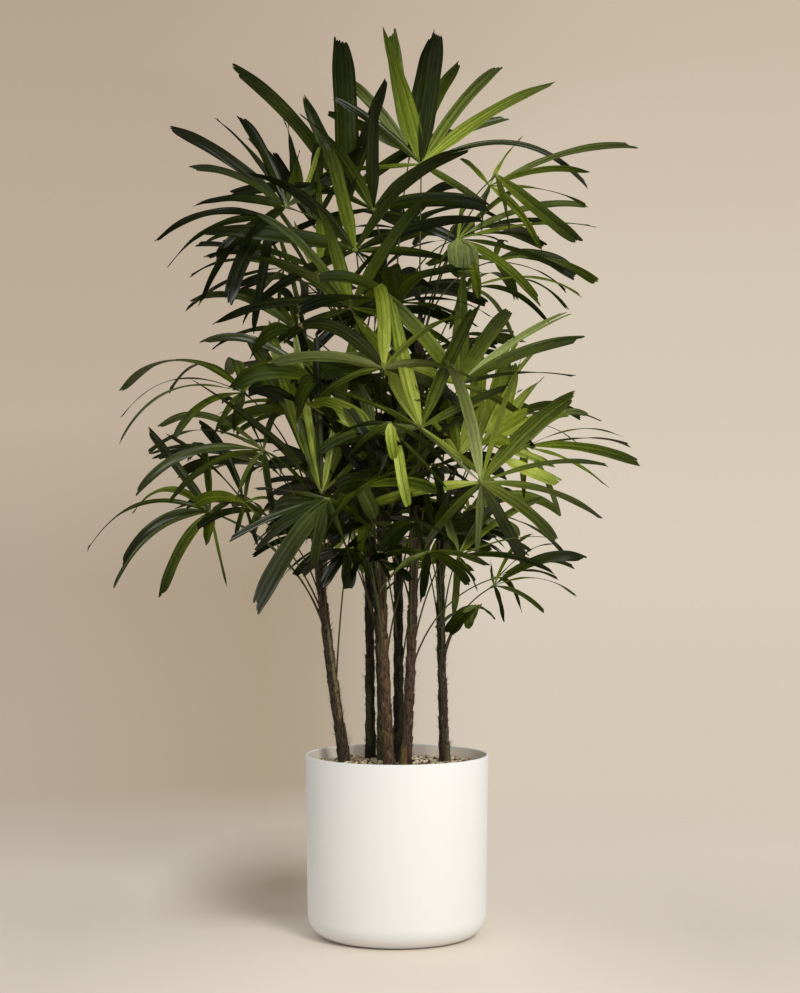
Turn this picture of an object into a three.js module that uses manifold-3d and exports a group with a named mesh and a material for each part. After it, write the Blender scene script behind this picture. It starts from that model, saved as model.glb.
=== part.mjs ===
// A lady palm (Rhapis) in a round white planter: seven clumped canes with fan leaves on thin stalks.
// Millimetres, +Z up, the origin on the floor under the planter's centre.
import * as THREE from "three";
import { mergeVertices } from "three/addons/utils/BufferGeometryUtils.js";
import Module from "manifold-3d";

const wasm = await Module();
wasm.setup();

// ---------- driving dimensions ----------

const GAP = 0.3; // clearance between solids that touch in the real plant

const PLANTER = {
  height: 351,
  rimRadius: 177.5,
  waistRadius: 173, // where the side meets the rounded foot
  footRadius: 128, // the flat that stands on the floor
  footRise: 44, // height of the rounded foot
  wall: 5,
  floor: 9,
  sides: 36,
};

const SOIL_TOP = 316;
const GRAVEL = { depth: 14, mound: 5, rings: 4, sides: 18 };

const CANE = { sides: 8, spans: 6, flare: 2.5, below: 14 }; // below is how far the curve starts under the soil's top

// A cane runs from its foot on the soil, by way of its middle, to its tip. The girth is its radius at both ends.
// Its leaves are listed from the top down by where the fan's hub is. turn is the compass heading of the middle
// finger (0 along +X, 90 away to the back), tilt its rise above level and roll the lean of the fan about it, all
// in degrees. fingers is how many there are, or the angles at which they lie in the fan. reach is the length of
// the middle ones, fan the angle between the outer ones, and sag how far the fingers hang.
const CANES = {
  left: {
    foot: [-98, 28], mid: [-139, 22, 600], tip: [-172, 12, 915], girth: [11, 7.5],
    leaves: [
      {
        hub: [-298, 25, 1052], turn: 186, tilt: 18, roll: -32, fingers: 9, reach: 285, fan: 190, sag: 1.8,
        ribs: 2.5,
      },
      { hub: [-160, 245, 1015], turn: 105, tilt: 20, fingers: 8 },
      { hub: [-254, -75, 938], turn: 200, tilt: 2, roll: -38, fingers: 9, reach: 285, fan: 230, sag: 1.1, ribs: 3 },
      { hub: [-250, 190, 905], turn: 140, tilt: 10, fingers: 8 },
      {
        hub: [-138, -80, 862], turn: 270, tilt: 78, fingers: [-48, -26, -10, 2, 17, 45], reach: 345, sag: 0.2,
        stalk: 230,
      },
      {
        hub: [-127, -190, 846], turn: 230, tilt: -38, roll: -30, reach: 300, sag: 0.5, stalk: 240,
        fingers: [[-62, 0.6], [-34, 0.75], [-16, 0.8], 2, [22, 0.6], [46, 0.66], [78, 0.5]],
      },
      {
        hub: [-293, -45, 838], turn: 225, tilt: 25, roll: -55, fingers: 8, reach: 210, fan: 270, sag: 0.8, ribs: 2.6,
        stalk: 230,
      },
      {
        hub: [-366, 40, 820], turn: 190, tilt: 14, roll: -60, reach: 256, sag: 1.7, ribs: 2.4, stalk: 255,
        fingers: [[-72, 0.95], [-28, 0.75], [0, 1.15], [16, 0.9], [33, 1.1], [60, 0.85], [90, 0.5], [114, 0.8]],
      },
    ],
  },
  rear: {
    foot: [-52, 104], mid: [-56, 104, 700], tip: [-66, 92, 1165], girth: [9.5, 7],
    leaves: [
      {
        hub: [-98, 60, 1445], turn: 252, tilt: 70, reach: 312, sag: 0.3, ribs: 4.2,
        fingers: [[-84, 0.9], [-38, 1.15], [-18, 0.7], 0, [22, 0.8], [58, 0.8]],
      },
      { hub: [15, 235, 1395], turn: 75, tilt: 35, fingers: 8 },
      {
        hub: [-243, 15, 1392], turn: 195, tilt: -2, roll: -55, reach: 270, sag: 1.3, ribs: 3.2,
        fingers: [[-118, 0.5], [-8, 1], [8, 0.95], [24, 0.6], [38, 1], [52, 0.9], [72, 1.05], [92, 1.1], [118, 0.8]],
      },
      { hub: [-200, 200, 1290], turn: 140, tilt: 16, roll: 20, fingers: 8 },
      {
        hub: [-192, -40, 1168], turn: 215, tilt: 5, roll: -45, fingers: 7, reach: 235, fan: 200, sag: 1.2,
        stalk: 250,
      },
      { hub: [40, 315, 1125], turn: 80, tilt: -12, roll: -15, fingers: 8 },
      { hub: [-125, 280, 1075], turn: 115, tilt: 20, roll: 15, fingers: 7 },
    ],
  },
  thin: {
    foot: [-31, 62], mid: [-36, 66, 560], tip: [-52, 60, 800], girth: [7, 5.5],
    leaves: [
      { hub: [55, 265, 960], turn: 70, tilt: 25, fingers: 7 },
      { hub: [40, 118, 885], turn: 15, tilt: 10, fingers: 7, reach: 215 },
      { hub: [-87, -15, 866], turn: 270, tilt: 75, fingers: [-55, -18, 17, 50], reach: 200, sag: 0.4 },
      { hub: [-45, 295, 850], turn: 98, tilt: -14, roll: 12, fingers: 7 },
      { hub: [-120, 190, 800], turn: 130, tilt: 5, fingers: 7, reach: 205 },
    ],
  },
  fibrous: {
    foot: [-13, -22], mid: [-27, -20, 600], tip: [-34, -26, 1010], girth: [11, 7],
    leaves: [
      {
        hub: [-86, -150, 1203], turn: 270, tilt: 60, reach: 262, sag: 0.6,
        fingers: [[-118, 0.9], [-86, 1.05], -56, -36, [-13, 0.8], 28, 62, [105, 0.8]],
      },
      { hub: [-24, -230, 1085], turn: 268, tilt: 45, fingers: 7, reach: 230, fan: 230 },
      { hub: [-149, -150, 1066], turn: 220, tilt: 10, roll: -40, fingers: 7, reach: 240, fan: 240, sag: 0.9 },
      { hub: [-143, -50, 1050], turn: 330, tilt: 10, fingers: 5, reach: 230, fan: 130, sag: 1.0 },
      { hub: [-12, -225, 985], turn: 275, tilt: -40, fingers: 5, reach: 160, fan: 150, sag: 0.5 },
      { hub: [-65, -165, 866], turn: 300, tilt: -10, roll: 30, fingers: 6, reach: 200, fan: 180, sag: 0.6 },
      { hub: [-84, -120, 753], turn: 262, tilt: -45, fingers: 5, reach: 125, fan: 150, stalk: 190 },
    ],
  },
  dark: {
    foot: [4, 42], mid: [2, 42, 700], tip: [-4, 38, 1225], girth: [10, 7],
    leaves: [
      {
        hub: [26, 90, 1530], turn: 98, tilt: 68, reach: 272, sag: 0.2, ribs: 3.6,
        fingers: [[66, 0.7], [38, 0.75], [5, 1], [-11, 1.05], [-28, 0.85], [-66, 0.8]],
      },
      {
        hub: [-212, -60, 1404], turn: 195, tilt: 42, roll: -60, reach: 288, sag: 0.45,
        fingers: [[-100, 0.7], [-66, 0.5], [-28, 0.72], [-12, 0.78], 8, [24, 0.8], [48, 0.85], [80, 0.7]],
      },
      { hub: [-46, -30, 1402], turn: 262, tilt: 60, fingers: [-100, -60, -25, 4, 50, 80, 110], reach: 235, sag: 0.6 },
      { hub: [120, 230, 1375], turn: 60, tilt: 20, fingers: 8, reach: 245 },
      {
        hub: [-79, -115, 1314], turn: 270, tilt: 62, reach: 268, sag: 0.6,
        fingers: [[-108, 0.85], [-74, 1.1], -42, [-9, 0.8], 36, 62, 90, [125, 0.8]],
      },
      { hub: [-30, 300, 1240], turn: 95, tilt: 28, roll: -10, fingers: 8 },
    ],
  },
  russet: {
    foot: [15, -34], mid: [30, -30, 620], tip: [44, -26, 1195], girth: [11, 7],
    leaves: [
      {
        hub: [47, -30, 1490], turn: 280, tilt: 64, reach: 292, sag: 0.35, ribs: 4.6,
        fingers: [[-94, 0.7], [-52, 0.75], [-17, 0.97], [3, 0.9], [35, 0.84], [51, 1.08], [66, 1.3, 4], [116, 0.6]],
      },
      {
        hub: [181, 20, 1455], turn: 352, tilt: 20, roll: 45, reach: 285, sag: 0.55, ribs: 3,
        fingers: [[-105, 0.5], [-70, 0.95], [-36, 0.85], [-18, 0.8], [-2, 1.08], [48, 0.5], [100, 0.5]],
      },
      { hub: [116, -55, 1343], turn: 342, tilt: -2, roll: 35, fingers: 8, reach: 285, fan: 190, sag: 0.6, ribs: 3.2 },
      { hub: [195, 125, 1320], turn: 35, tilt: 16, roll: 25, fingers: 7, reach: 215 },
      { hub: [138, -10, 1252], turn: 350, tilt: 8, roll: 22, fingers: 7, reach: 270, fan: 190, sag: 1.4, ribs: 2.4 },
      { hub: [-1, -170, 1210], turn: 262, tilt: 20, fingers: 7, reach: 220, fan: 240, sag: 0.9 },
      {
        hub: [45, -190, 978], turn: 264, tilt: 66, reach: 262, sag: 0.4, ribs: 4.2,
        fingers: [-104, -64, -31, -16, 22, 62, 128],
      },
    ],
  },
  right: {
    foot: [95, 46], mid: [86, 44, 600], tip: [85, 40, 905], girth: [9.5, 7],
    leaves: [
      {
        hub: [118, -150, 1060], turn: 272, tilt: 64, reach: 250, sag: 0.4, ribs: 3.6,
        fingers: [-72, -38, 3, [30, 0.7], 51, 63, [78, 0.95], [112, 0.6]],
      },
      { hub: [215, 200, 1000], turn: 50, tilt: 15, fingers: 8, reach: 240 },
      { hub: [249, 10, 946], turn: 352, tilt: 0, roll: 35, fingers: 8, reach: 240, fan: 170, sag: 0.8, ribs: 2.5 },
      { hub: [155, -60, 943], turn: 335, tilt: 58, roll: 45, fingers: 6, reach: 230, fan: 120, sag: 0.4 },
      {
        hub: [156, -190, 876], turn: 270, tilt: 66, reach: 250, sag: 0.5, ribs: 3.2,
        fingers: [-145, -98, -48, -13, 14, 41, 70, 98, 126, 150, 182],
      },
      { hub: [150, 275, 820], turn: 70, tilt: 18, roll: 15, fingers: 7 },
      { hub: [59, -120, 745], turn: 268, tilt: -30, fingers: 5, reach: 170, fan: 170, sag: 0.7, stalk: 230 },
      {
        hub: [117, -105, 738], turn: 345, tilt: 14, roll: 45, fingers: 7, reach: 205, fan: 180, sag: 0.7, ribs: 2.8,
        stalk: 240,
      },
      {
        hub: [189, 15, 676], turn: 350, tilt: 24, roll: 32, fingers: 6, reach: 205, fan: 160, sag: 0.9, ribs: 2.4,
        stalk: 170,
      },
      {
        hub: [150, -60, 641], turn: 235, tilt: -35, reach: 100, sag: 0.8, stalk: 130,
        fingers: [[-50, 0.9], [-12, 1], [26, 0.9], [70, 0.7]],
      },
    ],
  },
};

const LEAF = {
  roll: 0, fingers: 8, reach: 260, fan: 225, sag: 0.9, tilt: 10, stalk: 285, // where a leaf lists none of its own
  stalkBase: 3.4, stalkEnd: 2.0, stalkSpans: 3, hubRadius: 7,
  leastRise: 80, // how far a hub is above its stalk's foot, at least
  nodeSpace: 22, // between stalks on a cane
  ribWidth: 8.5, ribs: 3.8, ribsOuter: 0.5, // a finger is some ribs wide, and an outer one has this share of them
  outerShare: 0.72, // an outer finger's length as a share of the middle one's
  thickness: 0.011, // of the finger's length, at its ridge
  cup: 9, // degrees that the fingers rise out of the fan's plane
  steps: 24, stations: [0, 7, 16, 24], // where a finger's sections lie among the steps of its path
};

// A finger that would touch its neighbours swings and lifts by a golden-angle spiral, then is made shorter.
const GIVE_WAY = { tries: 17, degrees: 3.6, goldenAngle: 137.5, lengths: [1, 0.8, 0.6], clearance: 1.2 };

const SLIVER = 0.05; // detail finer than this is merged away in every solid

const LOOKS = {
  planter: { color: 0xece9e1, roughness: 0.45 },
  soil: { color: 0x2e241b, roughness: 0.95 },
  gravel: { color: 0xb09c7c, roughness: 0.8 },
  cane: { color: 0x57432f, roughness: 0.85 },
  leaf: { color: 0x35561c, roughness: 0.4 },
};

// ---------- small helpers ----------

const UP = new THREE.Vector3(0, 0, 1);
const vec = (p) => new THREE.Vector3(...p);
const rad = THREE.MathUtils.degToRad;

// A repeatable number from 0 to 1 for each set of whole numbers.
function dice(a, b, c) {
  const x = Math.sin(a * 12.9898 + b * 78.233 + c * 37.719) * 43758.5453;
  return x - Math.floor(x);
}

// A closed triangle mesh as a solid for joining and cutting.
function solidOf(geometry) {
  const bare = geometry.clone();
  bare.deleteAttribute("normal");
  bare.deleteAttribute("uv");
  const merged = mergeVertices(bare, 1e-3);
  return new wasm.Manifold(
    new wasm.Mesh({
      numProp: 3,
      vertProperties: merged.attributes.position.array,
      triVerts: new Uint32Array(merged.index.array),
    }),
  );
}

// A solid as a named mesh with a material of its own.
function meshOf(name, solid, look) {
  const made = solid.asOriginal().simplify(SLIVER).getMesh();
  const geometry = new THREE.BufferGeometry();
  geometry.setAttribute("position", new THREE.BufferAttribute(new Float32Array(made.vertProperties), 3));
  geometry.setIndex(new THREE.BufferAttribute(new Uint32Array(made.triVerts), 1));
  geometry.computeVertexNormals();
  const mesh = new THREE.Mesh(geometry, new THREE.MeshStandardMaterial({ metalness: 0, ...look }));
  mesh.name = name;
  return mesh;
}

// A closed solid through rings of points, each ring counter-clockwise about the way it goes.
function loft(rings) {
  const size = rings[0].length;
  const tris = [];
  for (let i = 0; i + 1 < rings.length; i++) {
    for (let j = 0; j < size; j++) {
      const a = i * size + j;
      const b = i * size + ((j + 1) % size);
      tris.push(a, b, b + size, a, b + size, a + size);
    }
  }
  const last = (rings.length - 1) * size;
  for (let j = 1; j + 1 < size; j++) tris.push(0, j + 1, j, last, last + j, last + j + 1);
  return solidOf(new THREE.BufferGeometry().setFromPoints(rings.flat()).setIndex(tris));
}

// A round tapering limb along a curve.
function limb(curve, baseRadius, tipRadius, sides, spans, flare = 0) {
  const rings = [];
  for (let i = 0; i <= spans; i++) {
    const t = i / spans;
    const centre = curve.getPoint(t);
    const along = curve.getTangent(t);
    const across = new THREE.Vector3(0, -1, 0).cross(along).normalize();
    const other = along.clone().cross(across);
    const radius = THREE.MathUtils.lerp(baseRadius, tipRadius, t) + flare * Math.max(0, 1 - t * spans);
    const ring = [];
    for (let j = 0; j < sides; j++) {
      const turn = (2 * Math.PI * j) / sides;
      ring.push(
        centre
          .clone()
          .addScaledVector(across, radius * Math.cos(turn))
          .addScaledVector(other, radius * Math.sin(turn)),
      );
    }
    rings.push(ring);
  }
  return loft(rings);
}

const boxOf = (solid) => {
  const { min, max } = solid.boundingBox();
  return new THREE.Box3(vec(min), vec(max));
};

const boxed = (solid) => ({ solid, box: boxOf(solid) });

// What is already in place, which later pieces give way to.
const placed = [];

function isClear(solid, others) {
  const box = boxOf(solid);
  return others.every((other) => {
    if (!other.box.intersectsBox(box)) return true;
    const common = solid.intersect(other.solid);
    const clear = common.isEmpty();
    common.delete();
    return clear;
  });
}

// ---------- planter, soil and gravel ----------

// Half of the planter's outline, set in by some distance: up its rounded foot and its side to a height.
function sideOutline(inset, top, steps) {
  const { rimRadius, waistRadius, footRadius, footRise, height } = PLANTER;
  const points = [];
  for (let i = 0; i <= steps; i++) {
    const turn = (Math.PI / 2) * (i / steps);
    points.push([
      footRadius - inset + (waistRadius - footRadius) * Math.sin(turn),
      inset + (footRise - inset) * (1 - Math.cos(turn)),
    ]);
  }
  const topRadius = waistRadius + ((rimRadius - waistRadius) * (top - footRise)) / (height - footRise);
  return [...points, [topRadius - inset, top]];
}

const lathe = (profile) =>
  solidOf(new THREE.LatheGeometry(profile.map((p) => new THREE.Vector2(...p)), PLANTER.sides).rotateX(Math.PI / 2));

function planter() {
  const { height, wall, floor } = PLANTER;
  const lip = 1.6; // how far the rim's edges are rounded off
  const outside = sideOutline(0, height - lip, 4);
  const inside = sideOutline(wall, height - lip, 2).map(([r, z]) => [r, Math.max(z, floor)]);
  const rimOut = outside.at(-1)[0];
  const rimIn = inside.at(-1)[0];
  return lathe([
    [0, 0], ...outside, [rimOut - lip, height], [rimIn + lip, height], ...inside.reverse(), [0, floor],
  ]);
}

function soil() {
  const side = sideOutline(PLANTER.wall + GAP, SOIL_TOP, 2);
  return lathe([
    [0, PLANTER.floor + GAP],
    ...side.map(([r, z]) => [r, Math.max(z, PLANTER.floor + GAP)]),
    [0, SOIL_TOP],
  ]);
}

// A low bumpy bed of small stones, open round the canes' feet.
function gravel(feet) {
  const { depth, mound, rings, sides } = GRAVEL;
  const edge = sideOutline(PLANTER.wall + 1, SOIL_TOP, 1).at(-1)[0] * Math.cos(Math.PI / PLANTER.sides);
  const low = SOIL_TOP + GAP;
  const profile = [[0, low], [edge, low]];
  for (let i = rings; i >= 0; i--) profile.push([(edge * i) / rings, low + depth]);
  const bed = new THREE.LatheGeometry(profile.map((p) => new THREE.Vector2(...p)), sides).rotateX(Math.PI / 2);
  const at = bed.attributes.position;
  for (let i = 0; i < at.count; i++) {
    if (at.getZ(i) < low + 1) continue;
    const [x, y] = [at.getX(i), at.getY(i)];
    const bumps = Math.sin(x / 17 + 1) * Math.cos(y / 21) + 0.5 * Math.sin(x / 9 - y / 12);
    at.setZ(i, at.getZ(i) + mound * bumps * 0.6);
  }
  return feet.reduce((bedLeft, foot) => bedLeft.subtract(foot), solidOf(bed));
}

// ---------- canes ----------

const caneCurve = ({ foot, mid, tip }) =>
  new THREE.CatmullRomCurve3([vec([...foot, SOIL_TOP - CANE.below]), vec(mid), vec(tip)], false, "catmullrom", 0.5);

const caneSolid = ({ curve, girth }, grown) =>
  limb(curve, girth[0] + grown, girth[1] + grown, CANE.sides, CANE.spans, CANE.flare);

// The point on a cane's axis at a height.
function caneAt(curve, height) {
  let [low, high] = [0, 1];
  for (let i = 0; i < 24; i++) {
    const middle = (low + high) / 2;
    if (curve.getPoint(middle).z < height) low = middle;
    else high = middle;
  }
  return curve.getPoint(low);
}

// ---------- leaves ----------

// A leaf with all its values: angles and lengths for its fingers, and a seed of its own.
function leafOf(given, name) {
  const leaf = { ...LEAF, ...given, name, hub: vec(given.hub), seed: given.hub[0] + 3 * given.hub[2] };
  leaf.frame = fanFrame(leaf);
  if (Array.isArray(leaf.fingers)) {
    leaf.angles = leaf.fingers.map((finger) => finger[0] ?? finger);
    leaf.lengths = leaf.fingers.map((finger) => finger[1] ?? 1);
    leaf.sags = leaf.fingers.map((finger) => finger[2] ?? 1);
    leaf.halfFan = Math.max(...leaf.angles.map(Math.abs));
  } else {
    leaf.halfFan = leaf.fan / 2;
    const spacing = leaf.fan / (leaf.fingers - 1);
    leaf.angles = Array.from(
      { length: leaf.fingers },
      (_, i) => spacing * (i + 0.4 * (dice(leaf.seed, i, 1) - 0.5)) - leaf.halfFan,
    );
  }
  return leaf;
}

// The height at which a leaf's stalk leaves its cane, a little apart from the stalks that are there already.
function stalkHeight(leaf, cane, starts) {
  const level = Math.hypot(leaf.hub.x - cane.tip[0], leaf.hub.y - cane.tip[1]);
  const rise = Math.sqrt(Math.max(leaf.stalk ** 2 - level ** 2, LEAF.leastRise ** 2));
  let height = Math.min(leaf.hub.z - rise, cane.tip[2] - 12);
  while (starts.some((taken) => Math.abs(taken - height) < LEAF.nodeSpace)) height -= 2;
  starts.push(height);
  return height;
}

// The stalk's curve: up beside the cane, then out to the hub. way turns its bulge about the straight line.
function stalkCurve(start, hub, way) {
  const chord = hub.clone().sub(start);
  const bulge = new THREE.Vector3(-chord.x, -chord.y, 0.9 * Math.hypot(chord.x, chord.y) + 20)
    .multiplyScalar(0.28)
    .applyAxisAngle(chord.clone().normalize(), rad(way * 40));
  return new THREE.QuadraticBezierCurve3(start, start.clone().lerp(hub, 0.5).add(bulge), hub);
}

// The stalk and the knob at its end, bulging the first way that keeps clear.
function freeStalk(leaf, start, others) {
  const build = (way, grown) =>
    limb(stalkCurve(start, leaf.hub, way), LEAF.stalkBase + grown, LEAF.stalkEnd + grown, 3, LEAF.stalkSpans)
      .add(solidOf(new THREE.OctahedronGeometry(LEAF.hubRadius + grown).translate(...leaf.hub)));
  const ways = Array.from({ length: 9 }, (_, way) => way);
  const free = ways.find((way) => isClear(build(way, GIVE_WAY.clearance), others));
  if (free === undefined) throw new Error(leaf.name + "'s stalk has no clear way");
  return build(free, 0);
}

// The fan's frame: middle is its middle finger's way, left lies in its plane and out is its upper side.
function fanFrame(leaf) {
  const [turn, tilt, roll] = [rad(leaf.turn), rad(leaf.tilt), rad(leaf.roll)];
  const middle = vec([Math.cos(turn) * Math.cos(tilt), Math.sin(turn) * Math.cos(tilt), Math.sin(tilt)]);
  const left = vec([-Math.sin(turn), Math.cos(turn), 0]).applyAxisAngle(middle, roll);
  return { middle, left, out: middle.clone().cross(left) };
}

// One finger's width, length and path. k is which way it gives way, 0 for none.
function fingerPath(leaf, finger, k, share) {
  const chance = (kind) => dice(leaf.seed, finger, kind);
  const { middle, left, out } = leaf.frame;
  const across = leaf.angles[finger] / leaf.halfFan; // -1 to 1 over the fan
  const give = GIVE_WAY.degrees * Math.sqrt(k);
  const swing = give * Math.cos(rad(GIVE_WAY.goldenAngle * k));
  const lift = give * Math.sin(rad(GIVE_WAY.goldenAngle * k));
  const angle = rad(leaf.angles[finger] + swing);
  const rise = rad(LEAF.cup + 10 * (chance(2) - 0.5) + lift);
  const level = middle.clone().multiplyScalar(Math.cos(angle)).addScaledVector(left, Math.sin(angle));
  const heading = level.clone().multiplyScalar(Math.cos(rise)).addScaledVector(out, Math.sin(rise));
  const side = left.clone().multiplyScalar(Math.cos(angle)).addScaledVector(middle, -Math.sin(angle));
  side.applyAxisAngle(heading, rad(26 * (chance(3) - 0.5)));

  const spareRibs = 1.8 * (chance(4) - 0.5);
  const ribs = Math.max(1, Math.round(
    leaf.ribs * THREE.MathUtils.lerp(1, LEAF.ribsOuter, Math.abs(across)) + spareRibs,
  ));
  const shape = 1 - (1 - LEAF.outerShare) * across * across;
  const length = leaf.reach * (leaf.lengths?.[finger] ?? shape * (0.9 + 0.2 * chance(5))) * share;
  const sag = leaf.sag * (leaf.sags?.[finger] ?? 1) * (0.75 + 0.5 * chance(6));

  const points = [leaf.hub.clone()];
  const ways = [];
  const sides = [];
  for (let i = 0; i <= LEAF.steps; i++) {
    const hang = sag * (i / LEAF.steps) ** 1.6;
    ways.push(heading.clone().addScaledVector(UP, -hang).normalize());
    const before = i ? sides[i - 1] : side; // the blade's side turns with it, so it never twists over
    sides.push(before.clone().addScaledVector(ways[i], -before.dot(ways[i])).normalize());
    if (i) {
      const step = ways[i - 1].clone().add(ways[i]).multiplyScalar(length / LEAF.steps / 2);
      points.push(points[i - 1].clone().add(step));
    }
  }
  return { points, ways, sides, width: ribs * LEAF.ribWidth + 3, length, ribs };
}

// A finger's width along it, as a share of its widest: narrow at the hub, then a strap, then in to a blunt tip.
function strap(s) {
  const opening = THREE.MathUtils.smoothstep(s, -0.02, 0.46);
  const closing = THREE.MathUtils.smoothstep(s, 0.62, 1.02);
  return (0.03 + 0.97 * opening) * (1 - 0.66 * closing);
}

// The finger as a blade with a flat underside and a ridge along its top, grown all round by some distance.
function fingerSolid({ points, ways, sides, width, length }, grown = 0) {
  const rings = LEAF.stations.map((i) => {
    const s = i / LEAF.steps;
    const across = sides[i];
    const out = ways[i].clone().cross(across);
    const half = (width / 2) * strap(s) + grown;
    const ridge = Math.max(1.6, LEAF.thickness * length * (1 - 0.5 * s)) + grown;
    const centre = points[i].clone().addScaledVector(ways[i], s === 1 ? grown : 0);
    const low = centre.clone().addScaledVector(out, -grown);
    return [
      low.clone().addScaledVector(across, half),
      centre.clone().addScaledVector(out, ridge),
      low.clone().addScaledVector(across, -half),
    ];
  });
  return loft(rings);
}

// The first way for a finger that keeps clear of all that is in place, or nothing.
function freeFinger(leaf, finger, others) {
  for (const share of GIVE_WAY.lengths) {
    for (let k = 0; k < GIVE_WAY.tries; k++) {
      const path = fingerPath(leaf, finger, k, share);
      const grown = fingerSolid(path, GIVE_WAY.clearance);
      const clear = isClear(grown, others);
      grown.delete();
      if (clear) return fingerSolid(path);
    }
  }
  return null;
}

// ---------- assembly ----------

const group = new THREE.Group();
group.name = "lady_palm";
const put = (name, solid, look) => group.add(meshOf(name, solid, look));

// The canes, and the same canes a clearance wider, which all else is kept out of.
for (const cane of Object.values(CANES)) {
  cane.curve = caneCurve(cane);
  cane.wide = caneSolid(cane, GAP);
}
const wideCanes = Object.values(CANES).map((cane) => cane.wide);

put("planter", planter(), LOOKS.planter);
put("soil", soil(), LOOKS.soil);
put("gravel", gravel(wideCanes), LOOKS.gravel);
for (const [name, cane] of Object.entries(CANES)) {
  put("cane_" + name, caneSolid(cane, 0).trimByPlane([0, 0, 1], SOIL_TOP + GAP), LOOKS.cane);
}

// The stalks come first, each clear of the other canes and of the stalks before it.
const leaves = Object.entries(CANES).flatMap(([name, cane]) => {
  const starts = []; // the heights on this cane that have a stalk
  return cane.leaves.map((given, i) => {
    const leaf = leafOf(given, "leaf_" + name + "_" + (i + 1));
    const start = caneAt(cane.curve, stalkHeight(leaf, cane, starts));
    const others = wideCanes.filter((wide) => wide !== cane.wide).map(boxed);
    leaf.stalk = freeStalk(leaf, start, [...others, ...placed]);
    placed.push(boxed(leaf.stalk));
    return leaf;
  });
});
placed.push(...wideCanes.map(boxed));

// Then the fingers, from the front of the plant to its back, each clear of all but its own leaf.
leaves.sort((a, b) => a.hub.y - b.hub.y);
for (const leaf of leaves) {
  const others = placed.filter(({ solid }) => solid !== leaf.stalk);
  const fingers = leaf.angles.map((_, i) => freeFinger(leaf, i, others)).filter(Boolean);
  placed.push(...fingers.map(boxed));
  const whole = wasm.Manifold.union([leaf.stalk, ...fingers]);
  const cut = wideCanes.reduce((rest, wide) => rest.subtract(wide), whole);
  const [largest] = cut.decompose().sort((a, b) => b.volume() - a.volume());
  put(leaf.name, largest, LOOKS.leaf);
}

export default group;
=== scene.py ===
# A lady palm in a round white pot: seven canes with fan leaves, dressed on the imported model.
# The tables and the growing rule are in millimetres, the meshes in metres.
import math

import bpy
import numpy as np
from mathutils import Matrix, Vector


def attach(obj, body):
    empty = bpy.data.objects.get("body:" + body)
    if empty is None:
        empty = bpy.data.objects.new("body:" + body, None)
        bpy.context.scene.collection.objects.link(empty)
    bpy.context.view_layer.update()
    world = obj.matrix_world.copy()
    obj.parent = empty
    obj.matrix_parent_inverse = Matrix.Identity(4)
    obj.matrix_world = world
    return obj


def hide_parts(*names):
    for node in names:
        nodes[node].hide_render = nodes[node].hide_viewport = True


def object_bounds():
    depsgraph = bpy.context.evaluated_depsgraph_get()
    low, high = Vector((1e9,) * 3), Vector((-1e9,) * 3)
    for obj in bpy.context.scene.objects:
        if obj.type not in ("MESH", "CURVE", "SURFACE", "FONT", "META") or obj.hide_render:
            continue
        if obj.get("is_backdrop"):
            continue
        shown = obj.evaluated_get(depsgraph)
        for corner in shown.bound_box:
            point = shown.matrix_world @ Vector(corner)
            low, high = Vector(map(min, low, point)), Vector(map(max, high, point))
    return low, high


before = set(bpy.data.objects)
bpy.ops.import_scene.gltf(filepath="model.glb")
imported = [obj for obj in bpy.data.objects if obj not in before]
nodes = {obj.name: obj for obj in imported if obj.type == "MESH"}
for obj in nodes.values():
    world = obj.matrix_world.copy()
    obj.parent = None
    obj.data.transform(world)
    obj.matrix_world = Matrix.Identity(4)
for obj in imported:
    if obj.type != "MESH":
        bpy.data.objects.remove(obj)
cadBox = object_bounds()
scene = bpy.context.scene
print("frame loaded,", len(nodes), "nodes")

perMetre = 1000
# The camera: where it stands, its focal length and the frame's height in pixels, and its sensor's width.
view = {"place": (0.006, -4.2, 0.85), "focal": 2165, "tall": 993, "sensor": 36}
camera = bpy.data.objects.new("camera", bpy.data.cameras.new("camera"))
camera.location = view["place"]
camera.rotation_euler = (math.pi / 2, 0, 0)
camera.data.sensor_width = view["sensor"]
camera.data.lens = view["sensor"] * view["focal"] / view["tall"]
scene.collection.objects.link(camera)
scene.camera = camera


# Shader maths: a Number wraps a socket, and an expression on Numbers adds the Math nodes.
class Number:
    def __init__(self, finish, socket):
        self.finish, self.socket = finish, socket

    def __add__(self, other):
        return self.finish.maths("ADD", self, other)

    __radd__ = __add__

    def __sub__(self, other):
        return self.finish.maths("SUBTRACT", self, other)

    def __rsub__(self, other):
        return self.finish.maths("SUBTRACT", other, self)

    def __mul__(self, other):
        return self.finish.maths("MULTIPLY", self, other)

    __rmul__ = __mul__

    def __pow__(self, other):
        return self.finish.maths("POWER", self, other)


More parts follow.
